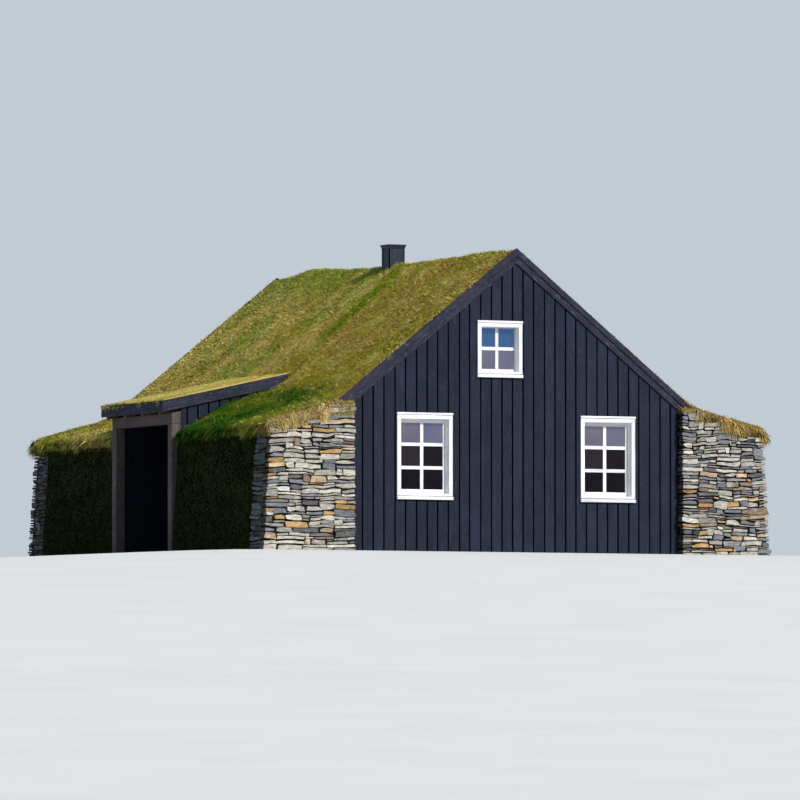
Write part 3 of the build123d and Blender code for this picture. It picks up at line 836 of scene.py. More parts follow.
def ledge_pattern(width, top, throw, sizes):
    """Rectangles (left, right, foot, head) of stones, each laid on the lowest free place."""
    low_height, more_height, low_length, more_length = sizes
    line = np.zeros(round(width / PATTERN_STEP))
    limit = np.array([top((i + 0.5) * PATTERN_STEP) for i in range(len(line))])
    stones = []
    while (line < limit - LEAST_ROOM).any():
        start = int(np.argmin(np.where(line < limit - LEAST_ROOM, line, np.inf)))
        level = line[start]
        end = start
        while end < len(line) and abs(line[end] - level) < LEVEL_ENOUGH:
            end += 1
        height = low_height + more_height * throw.beta(1.2, 2.2)
        if throw.random() < BIG_SHARE:
            height = throw.uniform(*BIG_HEIGHTS)
        beside = [line[i] - level for i in (start - 1, end) if 0 <= i < len(line)]
        beside = [rise for rise in beside if STEP_HEIGHTS[0] < rise < STEP_HEIGHTS[1]]
        if beside and throw.random() < 0.5:
            height = beside[int(throw.integers(len(beside)))]
        length = low_length + more_length * throw.beta(1.4, 1.7)
        cells = min(end - start, max(LEAST_CELLS, round(length / PATTERN_STEP)))
        spare = end - start - cells
        if spare < LEAST_CELLS:
            cells = end - start
        elif spare > 2 * LEAST_CELLS and throw.random() < 0.5:
            start += int(throw.integers(LEAST_CELLS, spare - LEAST_CELLS + 1))
        foot = line[start:start + cells].mean()
        stones.append((start * PATTERN_STEP, (start + cells) * PATTERN_STEP, foot,
                       level + height))
        line[start:start + cells] = level + height
    return np.array(stones)


def pinched(throw, count, share):
    """How far an edge draws in towards each end: most ends hardly, some down to a point."""
    thin = throw.beta(0.7, 1.8, (count, 2)) * (throw.random((count, 2)) < 0.55)
    return thin[:, :1] * (1 - share) ** 3 + thin[:, 1:] * share ** 3


def stone_grid(cut_across, cut_up):
    """Shares across and up of the points on every stone, with a line of them at each bevel."""
    cut_across, cut_up = np.minimum(cut_across, 0.3), np.minimum(cut_up, 0.3)
    one = np.ones_like(cut_up)
    across = np.concatenate([0 * one, cut_across, 0.36 * one, 0.66 * one, 1 - cut_across, one], 1)
    up = np.concatenate([0 * one, cut_up, 1 - cut_up, one], 1)
    return (np.repeat(across[:, None, :], STONE_ROWS, 1).reshape(len(one), -1),
            np.repeat(up[:, :, None], STONE_COLUMNS, 2).reshape(len(one), -1))


def stone_faces(count, right_end):
    """Faces of all the stones, and the painted shade of each of one stone's corners: some on the
    front's rim, most on the sides and back.
    """
    front = [(INDEX[j, i], INDEX[j, i + 1], INDEX[j + 1, i + 1], INDEX[j + 1, i])
             for j in range(STONE_ROWS - 1) for i in range(STONE_COLUMNS - 1)]
    back = [INDEX.size + i for i in range(len(RIM))]
    sides = [(RIM[i], back[i], back[i + 1 - len(RIM)], RIM[i + 1 - len(RIM)])
             for i in range(len(RIM))] + [tuple(back[::-1])]
    if not right_end:
        front, sides = ([face[::-1] for face in some] for some in (front, sides))
    each = INDEX.size + len(RIM)
    faces = [tuple(each * n + i for i in face) for n in range(count) for face in front + sides]
    shade = [RIM_PAINTED_SHADE if corner in RIM else 1.0 for face in front for corner in face]
    return faces, np.array(shade + [SIDE_PAINTED_SHADE] * sum(len(face) for face in sides))


def stone_tints(foot, throw, right_end):
    """Tint of each stone. High up, the right end has greys alone."""
    count = len(foot)
    chosen = throw.choice(len(STONE_TINTS), count, p=[kind[right_end] for kind in STONE_TINTS])
    if right_end:
        chosen = np.where(foot > WARM_BELOW, chosen % GREYS, chosen)
    tints = np.array([kind[2] for kind in STONE_TINTS])[chosen]
    return tints * throw.uniform(0.68, 1.22, (count, 1)) * throw.uniform(0.97, 1.03, (count, 3))


def laid_stones(pattern, on_face, throw, right_end):
    """Points, faces and corner tints of one face's stones, with painted shade on their rims and
    sides. on_face(s, z, depth) places them.
    """
    count = len(pattern)
    left, right, foot, head = (pattern[:, i, None] for i in range(4))
    gap = STONE_GAP * throw.uniform(0.3, 1.7, (count, 1))
    left, right = left + gap / 2, right - gap / 2
    foot, head = foot + gap / 2, np.maximum(head - gap / 2, foot + LEAST_STONE)
    tall = head - foot
    bevel = STONE_BEVEL * throw.uniform(0.5, 1.5, (count, 1))
    a, b = stone_grid(bevel / (right - left), bevel / tall)

    # edges that slant, bow and draw in towards the ends
    slant = throw.uniform(-1, 1, (count, 4)) * np.minimum(0.014, 0.16 * tall)
    bow = throw.uniform(-0.5, 1, (count, 2)) * np.minimum(0.012, 0.14 * tall)
    arch = 4 * a * (1 - a) - 0.6
    draw_in = 0.75 * tall * pinched(throw, count, a)
    below = throw.beta(0.6, 0.6, (count, 1))
    low_edge = (foot + slant[:, :1] * (1 - a) + slant[:, 1:2] * a - bow[:, :1] * arch
                + draw_in * below)
    high_edge = (head + slant[:, 2:3] * (1 - a) + slant[:, 3:] * a + bow[:, 1:] * arch
                 - draw_in * (1 - below))
    lean = throw.uniform(-1, 1, (count, 4)) * np.minimum(0.024, 0.35 * tall)
    s_left = left + lean[:, :1] * (1 - b) + lean[:, 1:2] * b
    s_right = right + lean[:, 2:3] * (1 - b) + lean[:, 3:] * b
    wobble = throw.uniform(-1, 1, (count, INDEX.size, 3))
    s = s_left + (s_right - s_left) * a + 0.005 * wobble[:, :, 0]
    z = low_edge + (high_edge - low_edge) * b + 0.003 * wobble[:, :, 1]

    # the courses wave, and the joints between stones lean with them
    width = pattern[:, 1].max()
    field = rows_of(s, z, np.full(s.shape, 3.0 + right_end))
    inside = smooth_step(0, 0.15, s) * smooth_step(width, width - 0.15, s)
    wave, short_wave, shift = (
        height * (noise(field, length, place) - 0.5)
        for (height, length), place in ((LONG_WAVE, 0.0), (SHORT_WAVE, 5.0), (JOINT_LEAN, 11.0)))
    wave = wave + short_wave
    z = np.maximum(z + wave.reshape(z.shape) * smooth_step(0, 0.2, z), 0.001)
    s = s + shift.reshape(s.shape) * inside
    tilt = throw.uniform(-MOST_TILT, MOST_TILT, (count, 2))
    depth = (FACE_RELIEF * throw.beta(1.3, 2.2, (count, 1)) + FACE_SET_BACK
             + tilt[:, :1] * (a - 0.5) + tilt[:, 1:] * (b - 0.5)
             + FACE_ROUGHNESS * wobble[:, :, 2])
    depth[:, RIM] += bevel

    back = np.repeat(STONE_DEPTH * throw.uniform(0.65, 1.4, (count, 1)), len(RIM), 1)
    s, z = (np.concatenate([grid, grid[:, RIM]], 1) for grid in (s, z))
    depth = np.concatenate([depth, back], 1)
    points = on_face(s.ravel(), z.ravel(), depth.ravel())

    tints = stone_tints(foot[:, 0], throw, right_end)
    faces, shade = stone_faces(count, right_end)
    return points, faces, (tints[:, None, :] * shade[None, :, None]).reshape(-1, 3)


def outer_face(z):
    return FOOT_X - (FOOT_X - TOP_X) * z / STONE_OUTER_Z


def wall_top(x):
    """Top of the side walls."""
    fall = (STONE_INNER_Z - STONE_OUTER_Z) / (TOP_X - TIMBER_X)
    return STONE_INNER_Z - fall * (x - TIMBER_X)


def stone_end(node, side, turned):
    """side is 1 for the end on the right of the gable and -1 for the left one."""
    throw = dice(node)
    width = FOOT_X - TIMBER_X
    ways = -1 if turned else 1
    right_end = int(side > 0)
    rise, sizes = STONE_RISE[right_end], STONE_SIZES[right_end]

    def front(s, z, depth):
        x = TIMBER_X + s * (outer_face(z) - TIMBER_X) / width
        return np.stack([side * x, STONE_FRONT + depth, z], 1)

    def outer(s, z, depth):
        return np.stack([side * (outer_face(z) - depth), STONE_FRONT + STONE_DEPTH + s, z], 1)

    patterns = [(ledge_pattern(width, lambda s: wall_top(TIMBER_X + s) + rise, throw, sizes),
                 front, 1),
                (ledge_pattern(STONE_BACK - STONE_FRONT - STONE_DEPTH,
                               lambda s: STONE_OUTER_Z + 0.02, throw, sizes), outer, LONG_SIDE_PAINTED_SHADE)]
    points, faces, tints = [], [], []
    count = 0
    for pattern, on_face, painted_shade in patterns:
        some_points, some_faces, some_tints = laid_stones(pattern, on_face, throw, right_end)
        points.append(some_points)
        faces += [tuple(count + i for i in face) for face in some_faces]
        tints.append(some_tints * painted_shade)
        count += len(some_points)

    core = inset(np.array([(TIMBER_X, 0), (FOOT_X, 0), (TOP_X, STONE_OUTER_Z),
                           (TIMBER_X, STONE_INNER_Z)]), CORE_INSET)
    core[:, 1] = np.maximum(core[:, 1] - CORE_DROP, 0)
    points.append(np.array([(side * x, y, z) for y in (STONE_FRONT + CORE_FRONT, STONE_BACK)
                            for x, z in core]))
    core_faces = ((0, 1, 2, 3), (7, 6, 5, 4), (0, 4, 5, 1), (1, 5, 6, 2), (2, 6, 7, 3),
                  (3, 7, 4, 0))
    faces += [tuple(count + i for i in face[::side]) for face in core_faces]
    tints.append(np.repeat([CORE_PAINTED_SHADE], sum(len(face) for face in core_faces), 0))

    mesh = mesh_of_lists(node + "_stones", np.concatenate(points) * (ways, ways, 1), faces)
    set_colour(mesh, np.concatenate(tints), "CORNER")
    add_piece(mesh.name, mesh, LEDGE_STONE, [node])


# Turf
TURF_STEP = 0.08
CAP_R = 0.13
END_R = 0.07
RIDGE_ROUND = 0.045
BEND_ROUND = 0.09
EDGE_KEEP = 0.16        # width of the rounded edge in the CAD, where no height is read
EDGE_BACK = 0.04        # how far the turf's edge stands behind the stone faces
EDGE_BULGE = 0.05
MAT_LIFT = 0.012        # of the mat over the CAD's plain slopes
LEAST_MAT = 0.015
LUMP_RISE = 0.045
# The ridge behind the chimney: height and place of its swell, and its drop at the gable
SWELL, SWELL_Y, SWELL_LENGTH, RIDGE_W = 0.095, 3.0, 1.1, 0.9
RIDGE_DROP, DROP_LENGTH = 0.030, 1.1
PORCH_HOLLOW, HOLLOW_W = 0.055, 0.16    # dip of the turf along the porch's end boards
PORCH_EAVE_R, PORCH_SIDE_R = 0.045, 0.04
PORCH_MAT_LIFT, LEAST_PORCH_MAT, SIDE_MAT_LIFT = 0.015, 0.02, 0.02
# painted shade: the second number darkens the mat's underside, and with it the lower part of the
# mat's walls
MAT_SHADE, UNDER_PAINTED_SHADE = 0.85, 0.4
OLIVE, BROWN, STRAW = linear(184, 164, 54), linear(196, 158, 74), linear(228, 204, 112)
DRY, MOSS, FRESH = linear(222, 196, 98), linear(170, 158, 28), linear(136, 154, 16)
RIDGE_GREEN, BANK_GREEN_AND_SHADE = linear(142, 166, 52), linear(50, 98, 2)
CAP_GREEN, CAP_STRAW = linear(134, 150, 28), linear(172, 140, 66)
EARTH = linear(126, 104, 58)
LEFT_WALL_PAINTED_SHADE, SIDE_GREEN = linear(37, 46, 7), linear(92, 102, 34)    # left wall, in painted shade, and right wall


def slope_height(x):
    """Height of the plain turf on the steep slope and over the side walls."""
    steep = APEX_Z - ROOF_SLOPE * abs(x)
    return np.maximum(steep, SEAT_Z - CAP_SLOPE * (abs(x) - CAP_TURN_X))


def hummock_rise(x, y):
    """How far the CAD's turf stands over its plain slopes, softened, at a grid of places."""
    points, faces = [], []
    for node in ("left_roof_turf", "right_roof_turf"):
        faces += faces_of(node, len(points))
        points += points_of(node).tolist()
    tree = BVHTree.FromPolygons(points, faces)
    inside_x = np.clip(x, -CAP_X + EDGE_KEEP, CAP_X - EDGE_KEEP)
    inside_y = np.clip(y, FRONT + 0.01, -FRONT - 0.01)
    past_porch = PORCH_END + PORCH_BARGE_T + 0.01
    porch = (x < -PORCH_MEET_X) & (abs(y) < past_porch)
    inside_y = np.where(porch, np.where(y < 0, -past_porch, past_porch), inside_y)
    rise = np.zeros(x.shape)
    for place in np.ndindex(x.shape):
        hit = tree.ray_cast((inside_x[place], inside_y[place], 2 * APEX_Z), (0, 0, -1))[0]
        if hit is not None:
            rise[place] = max(0, hit.z - slope_height(inside_x[place]))
    for axis in (0, 1, 0, 1):
        rise = (np.roll(rise, 1, axis) + 2 * rise + np.roll(rise, -1, axis)) / 4
    return rise


def roof_height(x, y):
    """Height of the turf without its hummocks and lumps."""
    out = abs(x)
    steep = APEX_Z - ROOF_SLOPE * np.sqrt(out ** 2 + RIDGE_ROUND ** 2)
    gentle = SEAT_Z - CAP_SLOPE * (out - CAP_TURN_X)
    over = 0.5 * (steep + gentle + np.sqrt((steep - gentle) ** 2 + BEND_ROUND ** 2))
    seat = SEAT_Z - CAP_SLOPE * np.maximum(out - CAP_TURN_X, 0)
    return np.where(abs(y) > -FRONT + 0.01, seat, over)


def lumps(points):
    return (LUMP_RISE * (rough(points, 1.1) - 0.5)
            + LUMP_RISE * (rough(points, 0.30, 2, 5.0) - 0.5))


def ridge_swell(x, y):
    """The ridge rises a little behind the chimney and drops towards the back gable."""
    swell = SWELL * np.exp(-((abs(y) - SWELL_Y) / SWELL_LENGTH) ** 2) * (y > 0)
    drop = RIDGE_DROP * smooth_step(-FRONT - DROP_LENGTH, -FRONT, abs(y)) * (y > 0)
    return (swell - drop) * np.exp(-(x / RIDGE_W) ** 2)


def beside_porch(x, y):
    """1 along the porch's end boards, falling away from them."""
    away = np.maximum(abs(y) - PORCH_END - PORCH_BARGE_T, 0)
    past = smooth_step(-PORCH_MEET_X + 0.3, -PORCH_MEET_X - 0.2, x)
    return np.exp(-(away / HOLLOW_W) ** 2) * past


def turf_tint(points):
    """Colour of the grass at each point: olive with green, brown and straw patches, a left bank of
    greener grass with painted shade, and darker greens low on the side walls, the left one's being
    painted shade.
    """
    x, y, z = points.T
    out = abs(x)
    wide, patch, small = (rough(points, size, 3, shift)
                          for size, shift in ((1.3, 3.0), (0.8, 21.0), (0.4, 41.0)))
    y = y + 2.4 * (wide - 0.5) * smooth_step(0.0, 0.6, x)
    on_left = smooth_step(0.1, -0.3, x)
    front = smooth_step(0.1, -0.9, y)
    on_slope = smooth_step(3.35, 2.95, out + 1.4 * (small - 0.5))
    ridge = smooth_step(1.2, 0.3, out) * smooth_step(0.3, 1.8, y)
    middle = -0.62 - 0.2 * out
    strip = np.exp(-((y - middle) / 0.30) ** 4) * smooth_step(2.2, 1.6, out) * on_left
    # the bank, low on the left slope before the porch: greener grass, and painted shade where it
    # lies sheltered
    bank_and_shade = (smooth_step(2.75, 3.15, out) * smooth_step(-4.2, -3.0, y) * smooth_step(0, -1, y)
            * on_left)
    on_porch = (abs(y) < PORCH_END) & (x < -PORCH_MEET_X)
    bank_and_shade = bank_and_shade * ~on_porch
    near_end = smooth_step(0.42, 0.10, -STONE_FRONT - abs(y)) * (1 - on_slope)
    moss = smooth_step(1.9, 2.7, out) * front * (0.45 + 0.55 * smooth_step(0.4, 0.6, wide))
    layers = ((0.85 * (1 - front) * smooth_step(0.32, 0.56, patch), DRY),
              (0.8 * smooth_step(0.47, 0.60, patch) * front, BROWN),
              (0.7 * smooth_step(0.50, 0.62, wide) * (1 - 0.8 * front) * on_slope, RIDGE_GREEN),
              (0.75 * ridge, RIDGE_GREEN), (0.8 * moss, MOSS), (strip, FRESH),
              (0.45 * smooth_step(0.50, 0.66, small) * (1 - strip), STRAW),
              (0.75 * (1 - on_slope) * smooth_step(0.38, 0.5, wide), CAP_GREEN),
              (bank_and_shade * (0.75 + 0.25 * smooth_step(0.4, 0.6, small)), BANK_GREEN_AND_SHADE),
              (0.75 * near_end, CAP_STRAW), (0.45 * near_end * on_left, STRAW),
              (on_porch * (0.4 + 0.4 * smooth_step(0.40, 0.58, small)), STRAW))
    tint = np.repeat([OLIVE], len(points), 0)
    for share, colour in layers:
        tint = tint + share[:, None] * (colour - tint)
    # painted shade low on the left wall, where it starts higher, under the cap's edge; the right
    # wall goes to a darker green of its own
    high = CAP_LOW_Z + np.where(x > 0, 0.02, 0.14)
    low = smooth_step(high, high - 0.18, z)[:, None]
    return tint + low * (np.where(x[:, None] > 0, SIDE_GREEN, LEFT_WALL_PAINTED_SHADE) - tint)


def spaced(*stops):
    """Places from the first stop to the last, TURF_STEP apart or so, with every stop kept."""
    parts = [np.linspace(a, b, max(2, round((b - a) / TURF_STEP) + 1))[:-1]
             for a, b in zip(stops[:-1], stops[1:])]
    return np.concatenate(parts + [[stops[-1]]])


def with_round_end(places, radius):
    """Places with a quarter round after them, and how far each lies below the flat."""
    angles = np.linspace(0, pi / 2, 6)[1:]
    drop = np.concatenate([np.zeros(len(places)), radius * (1 - np.cos(angles))])
    return np.concatenate([places, places[-1] + radius * np.sin(angles)]), drop


def with_round_ends(places, radius):
    """As with_round_end, with the same again on the other side of 0."""
    half, drop = with_round_end(places, radius)
    return np.concatenate([-half[:0:-1], half]), np.concatenate([drop[:0:-1], drop])


def turf_sheet(name, nodes, top, under, keep=slice(None)):
    """Closed mat of a grid of top points, the same grid below it, and walls between. Gives
    its top points and faces."""
    rows, columns = top.shape[:2]
    index = np.arange(rows * columns).reshape(rows, columns)
    quads = np.stack([index[:-1, :-1], index[:-1, 1:], index[1:, 1:], index[1:, :-1]], -1)
    quads = quads[keep].reshape(-1, 4)
    size = rows * columns
    edges = np.concatenate([quads[:, [i, (i + 1) % 4]] for i in range(4)])
    code = edges.min(1) * size + edges.max(1)
    _, first, seen = np.unique(code, return_index=True, return_counts=True)
    rim = edges[first[seen == 1]]
    walls = np.stack([rim[:, 1], rim[:, 0], rim[:, 0] + size, rim[:, 1] + size], 1)
    faces = np.concatenate([quads, quads[:, ::-1] + size, walls])
    top = top.reshape(-1, 3)
    points = np.concatenate([top, under.reshape(-1, 3)])
    used = np.unique(faces)
    number = np.zeros(len(points), int)
    number[used] = np.arange(len(used))
    mesh = mesh_of_rows(name, points[used], number[faces], smooth=True)
    tint = turf_tint(points[used]) * MAT_SHADE
    tint[abs(points[used, 1]) > -FRONT - 0.02] = EARTH
    tint[used >= size] *= UNDER_PAINTED_SHADE
    set_colour(mesh, tint)
    add_piece(name, mesh, TURF_GROUND, nodes)
    return top, quads


def roof_turf():
    """Turf over both slopes and both side walls, left open for the porch roof."""
    x, drop_x = with_round_ends(spaced(0, PORCH_MEET_X, TIMBER_X, CAP_X - CAP_R), CAP_R)
    y, drop_y = with_round_ends(spaced(0, PORCH_END, -FRONT, -FRONT + 0.03,
                                       -STONE_FRONT - EDGE_BACK - END_R), END_R)
    x, y = np.meshgrid(x, y)
    drop = drop_x[None, :] + drop_y[:, None]
    flat = rows_of(x, y, roof_height(x, y))
    on_slope = abs(x) < TIMBER_X
    to_verge = smooth_step(0.0, 0.25, np.where(on_slope, -FRONT - abs(y), 1))
    lump = (lumps(flat).reshape(x.shape) * to_verge + MAT_LIFT + hummock_rise(x, y)
            + ridge_swell(x, y) * to_verge - PORCH_HOLLOW * beside_porch(x, y))
    edge = EDGE_BULGE * (rough(flat, 0.3, 2, 8.0).reshape(x.shape) - 0.45)
    bulge_x = np.sign(x) * edge * (drop_x[None, :] / CAP_R)
    bulge_y = np.sign(y) * edge * (drop_y[:, None] / END_R)
    under = np.where(on_slope, DECK_TOP_Z - ROOF_SLOPE * abs(x),
                     np.maximum(wall_top(abs(x)) - 0.01, CAP_LOW_Z))
    z = np.maximum(roof_height(x, y) - drop + lump, under + LEAST_MAT)
    middle_x, middle_y = ((grid[1:, 1:] + grid[:-1, :-1]) / 2 for grid in (x, y))
    gable_front = (abs(middle_y) > -FRONT) & (abs(middle_x) < TIMBER_X)
    porch = (abs(middle_y) < PORCH_END) & (middle_x < -PORCH_MEET_X)
    return turf_sheet("roof_turf_mat", ["left_roof_turf", "right_roof_turf"],
                      np.stack([x + bulge_x, y + bulge_y, z], -1), np.stack([x, y, under], -1),
                      ~gable_front & ~porch)


def porch_turf():
    out, drop_x = with_round_end(spaced(PORCH_MEET_X, PORCH_TURF_END_X - 0.05), PORCH_EAVE_R)
    y, drop_y = with_round_ends(spaced(0, PORCH_END - 0.045), PORCH_SIDE_R)
    x, y = np.meshgrid(-out[::-1], y)
    drop = drop_x[None, ::-1] + drop_y[:, None]
    height = PORCH_EAVE_Z + PORCH_SLOPE * (PORCH_EAVE_X + x)
    lump = 0.5 * lumps(rows_of(x, y, height)).reshape(x.shape)
    z = height - drop + lump + PORCH_MAT_LIFT
    under = PORCH_DECK_EAVE_Z + PORCH_SLOPE * (PORCH_TURF_END_X + x)
    return turf_sheet("porch_turf_mat", ["porch_roof_turf"],
                      np.stack([x, y, np.maximum(z, under + LEAST_PORCH_MAT)], -1),
                      np.stack([x, y, under], -1))


def side_turf(node):
    """Leaning outer face of a turf wall, with the wall behind it."""
    low, high = corners(node)
    side = 1 if low[0] > 0 else -1
    y, z = np.meshgrid(spaced(low[1], high[1])[::-side], spaced(0, STONE_OUTER_Z))
    ends = smooth_step(0, 0.12, y - low[1]) * smooth_step(0, 0.12, high[1] - y)
    rise = lumps(rows_of(side * outer_face(z), y, z)) + SIDE_MAT_LIFT
    bulge = rise.reshape(y.shape) * ends
    return turf_sheet(node + "_mat", [node], np.stack([side * (outer_face(z) + bulge), y, z], -1),
                      np.stack([np.full(y.shape, side * TIMBER_X), y, z], -1))


# Grass
BLADES_PER_M2 = 5600
BLADES_A_PIECE = 190000
DOWN = np.array((0, 0, -1.0))
LIGHT_UP = 2.5          # how far the light on the blades is turned from the turf's to upright
PALE_STRAW, BLEACHED = linear(236, 216, 140), linear(222, 200, 158)
RUST, DEAD = linear(186, 136, 76), linear(134, 104, 58)
FRINGE_SHADE = 0.60
ROOT_DEPTH = 0.008
BLADE_HALF_W, FRINGE_HALF_W = (0.0030, 0.0058), (0.0035, 0.0075)
# Painted shade and light on a blade at its corners, from the root round: darker at the root,
# lighter at the tip
BLADE_PAINTED_SHADES, FRINGE_PAINTED_SHADES = (0.9, 0.9, 1.12), (0.75, 1.0, 1.1, 1.0)
# Long grass over the right and the left stone end
CAP_FRINGES = {
    1: dict(per_metre=5600, length=(0.05, 0.16), hang=0.8, straw_share=0.6, spread=0.05, rust=1.0,
            depth=0.07, stray=0.35, pale=BLEACHED),
    -1: dict(per_metre=9500, length=(0.03, 0.09), hang=0.4, straw_share=0.85, spread=0.006,
             rust=0.6, depth=0.17, stray=0.5, pale=BLEACHED, shade=0.90, least_clump=0.5),
}
VERGE_BLADES = {1: 300, -1: 1500}       # on a metre of the right and the left slope's verge


def scattered(points, quads, density, throw):
    """Random points on a surface, and its normal at each."""
    corner = points[quads]
    along, across = corner[:, 2] - corner[:, 0], corner[:, 3] - corner[:, 1]
    normal = np.cross(along, across)
    area = np.linalg.norm(normal, axis=1) / 2
    count = int(area.sum() * density)
    chosen = throw.choice(len(quads), count, p=area / area.sum())
    u, v = throw.random((2, count, 1))
    corner = corner[chosen]
    place = (corner[:, 0] * (1 - u) * (1 - v) + corner[:, 1] * u * (1 - v)
             + corner[:, 2] * u * v + corner[:, 3] * (1 - u) * v)
    return place, normal[chosen] / np.linalg.norm(normal[chosen], axis=1)[:, None]


def unit(rows):
    return rows / np.linalg.norm(rows, axis=1)[:, None]


def blade_tints(root, throw, straw_share, pale, rust=0.0):
    """Local colour of the turf, with dry and brown blades among the green ones."""
    tint = turf_tint(root)
    draw = throw.random(len(root))
    fresh = smooth_step(1.0, 1.5, tint[:, 1] / tint[:, 0])
    straw_share = straw_share * (1 - 0.85 * fresh)
    dry = (draw < straw_share)[:, None]
    dead = ((draw > straw_share) & (draw < straw_share + 0.10 * (1 - 0.8 * fresh)))[:, None]
    straw = pale + rust * throw.random((len(root), 1)) * (RUST - pale)
    tint = np.where(dry, 0.45 * tint + 0.55 * straw, tint)
    tint = np.where(dead, 0.5 * tint + 0.5 * DEAD, tint)
    return tint * throw.uniform(0.70, 1.32, (len(root), 1))


def blade_mesh(name, corners_of, shade, tint, lean):
    """Blades given by their corners from the root round, each with its own tint and painted shade
    and light at each corner. lean is the direction that light falls on them from, as on the turf."""
    sides = len(corners_of)
    points = np.stack(corners_of, 1).reshape(-1, 3)
    points[:, 2] = np.maximum(points[:, 2], 0.002)
    mesh = mesh_of_rows(name, points, np.arange(len(points)).reshape(-1, sides))
    set_colour(mesh, (tint[:, None, :] * np.array(shade)[None, :, None]).reshape(-1, 3))
    set_attribute(mesh, "lean", np.repeat(lean, sides, 0))
    return mesh


def grass(name, surface, density=BLADES_PER_M2, length=(0.025, 0.062), straw=None,
          edge_shade=True):
    """Upright blades all over a surface, finest in clumps. With straw they are dry and long.
    With edge_shade those on a steep edge are lit as the edge is, and not from above."""
    throw = dice(name)
    root, normal = scattered(*surface, density, throw)
    clump = rough(root, 0.09, 2, 60.0)
    stay = throw.random(len(root)) < 0.45 + 1.1 * smooth_step(0.3, 0.7, clump)
    if straw:
        stay = throw.random(len(root)) < smooth_step(0.42, 0.68, clump)
    root, normal, clump = root[stay], normal[stay], clump[stay]
    count = len(root)
    fall = DOWN - normal * (normal @ DOWN)[:, None]
    stray = throw.normal(0, 1, (count, 3))
    wind = np.stack([rough(root, 0.35, 2, 70.0) - 0.5, rough(root, 0.35, 2, 80.0) - 0.5,
                     np.zeros(count)], 1)
    rise = (0.25, 0.6) if straw else (0.5, 1.1)
    way = unit(normal * throw.uniform(*rise, (count, 1)) + fall * 0.6
               + stray * (0.6 if straw else 0.42) + wind * 0.6)
    side = unit(np.cross(way, normal + 0.35 * throw.normal(0, 1, (count, 3))))
    low = beside_porch(root[:, 0], root[:, 1])
    tall = throw.uniform(*length, count) * (0.6 + 0.8 * clump) * (1 - 0.6 * low)
    half = side * throw.uniform(*BLADE_HALF_W, (count, 1))
    dry = straw or (0.03 + 0.25 * smooth_step(0.50, 0.68, rough(root, 0.22, 2, 15.0))
                    + 0.55 * smooth_step(0.60, 0.76, noise(root, 0.055, 33.0)))
    tint = blade_tints(root, throw, dry, PALE_STRAW)
    tint *= (0.42 + 0.92 * smooth_step(0.28, 0.72, clump))[:, None]
    light_up = LIGHT_UP * (smooth_step(0.1, 0.6, normal[:, 2:]) if edge_shade else 1)
    lean = unit(normal - light_up * DOWN + 0.8 * throw.normal(0, 1, (count, 3)))
    root = root - normal * ROOT_DEPTH
    tip = root + (way + DOWN * throw.uniform(0.1, 0.4, (count, 1))) * tall[:, None]
    pieces = -(-count // BLADES_A_PIECE)
    for i in range(pieces):
        part = slice(i * BLADES_A_PIECE, (i + 1) * BLADES_A_PIECE)
        piece_name = name if pieces == 1 else f"{name}_{i + 1}"
        outline = [(root - half)[part], (root + half)[part], tip[part]]
        mesh = blade_mesh(piece_name, outline, BLADE_PAINTED_SHADES, tint[part], lean[part])
        add_piece(piece_name, mesh, GRASS)


def fringe(name, line, per_metre, length, outward, hang, straw_share=0.6, spread=0.04, rust=0.0,
           depth=0.03, stray=0.25, pale=PALE_STRAW, shade=FRINGE_SHADE, least_clump=0.0):
    """Long bent blades that hang over an edge. line is a list of points along it."""
    throw = dice(name)
    line = np.array(line, float)
    steps = np.linalg.norm(np.diff(line, axis=0), axis=1)
    reach = np.concatenate([[0], steps.cumsum()])
    count = int(reach[-1] * per_metre)
    at = throw.uniform(0, reach[-1], count)
    root = np.stack([np.interp(at, reach, line[:, i]) for i in range(3)], 1)
    clump = smooth_step(0.34, 0.66, rough(root * (1, 1, 0.35), 0.16, 3, 90.0))
    clump = np.maximum(clump, least_clump)
    stay = throw.random(count) < 0.25 + 0.9 * clump
    root, clump = root[stay], clump[stay]
    count = len(root)
    outward = np.array(outward, float)
    root = root - outward * throw.uniform(0, 2.2 * spread, (count, 1))
    root[:, 2] += throw.uniform(-depth, 0.012, count)
    way = unit(outward * throw.uniform(0.2, 0.8, (count, 1)) + throw.normal(0, stray, (count, 3))
               + DOWN * hang)
    side = unit(np.cross(way, outward + 0.4 * throw.normal(0, 1, (count, 3))))
    tall = (throw.uniform(*length, count) * (0.4 + clump))[:, None]
    half = side * throw.uniform(*FRINGE_HALF_W, (count, 1))
    middle = root + way * tall * 0.45
    tip = root + (way + DOWN * throw.uniform(0.2, 0.6, (count, 1))) * tall
    tint = blade_tints(root, throw, straw_share, pale, rust) * shade
    # painted shade between the tufts: blades outside the clumps, which are shorter, are darkened
    tint *= (0.34 + 1.15 * clump ** 1.5)[:, None]
    lean = unit(outward - 0.4 * DOWN + 0.5 * throw.normal(0, 1, (count, 3)))
    mesh = blade_mesh(name, [root, middle + half, tip, middle - half], FRINGE_PAINTED_SHADES, tint, lean)
    add_piece(name, mesh, GRASS)


def cap_front_line(side, ways):
    """Edge of the turf over a stone end, from the gable outwards. The long grass of the right
    end starts a little away from the gable."""
    places = np.linspace(TIMBER_X + (0.28 if side > 0 else 0.03), CAP_X - 0.03, 24)
    return [(ways * side * x, ways * (STONE_FRONT + EDGE_BACK + 0.01),
             SEAT_Z - CAP_SLOPE * max(x - CAP_TURN_X, 0) - 0.02) for x in places]


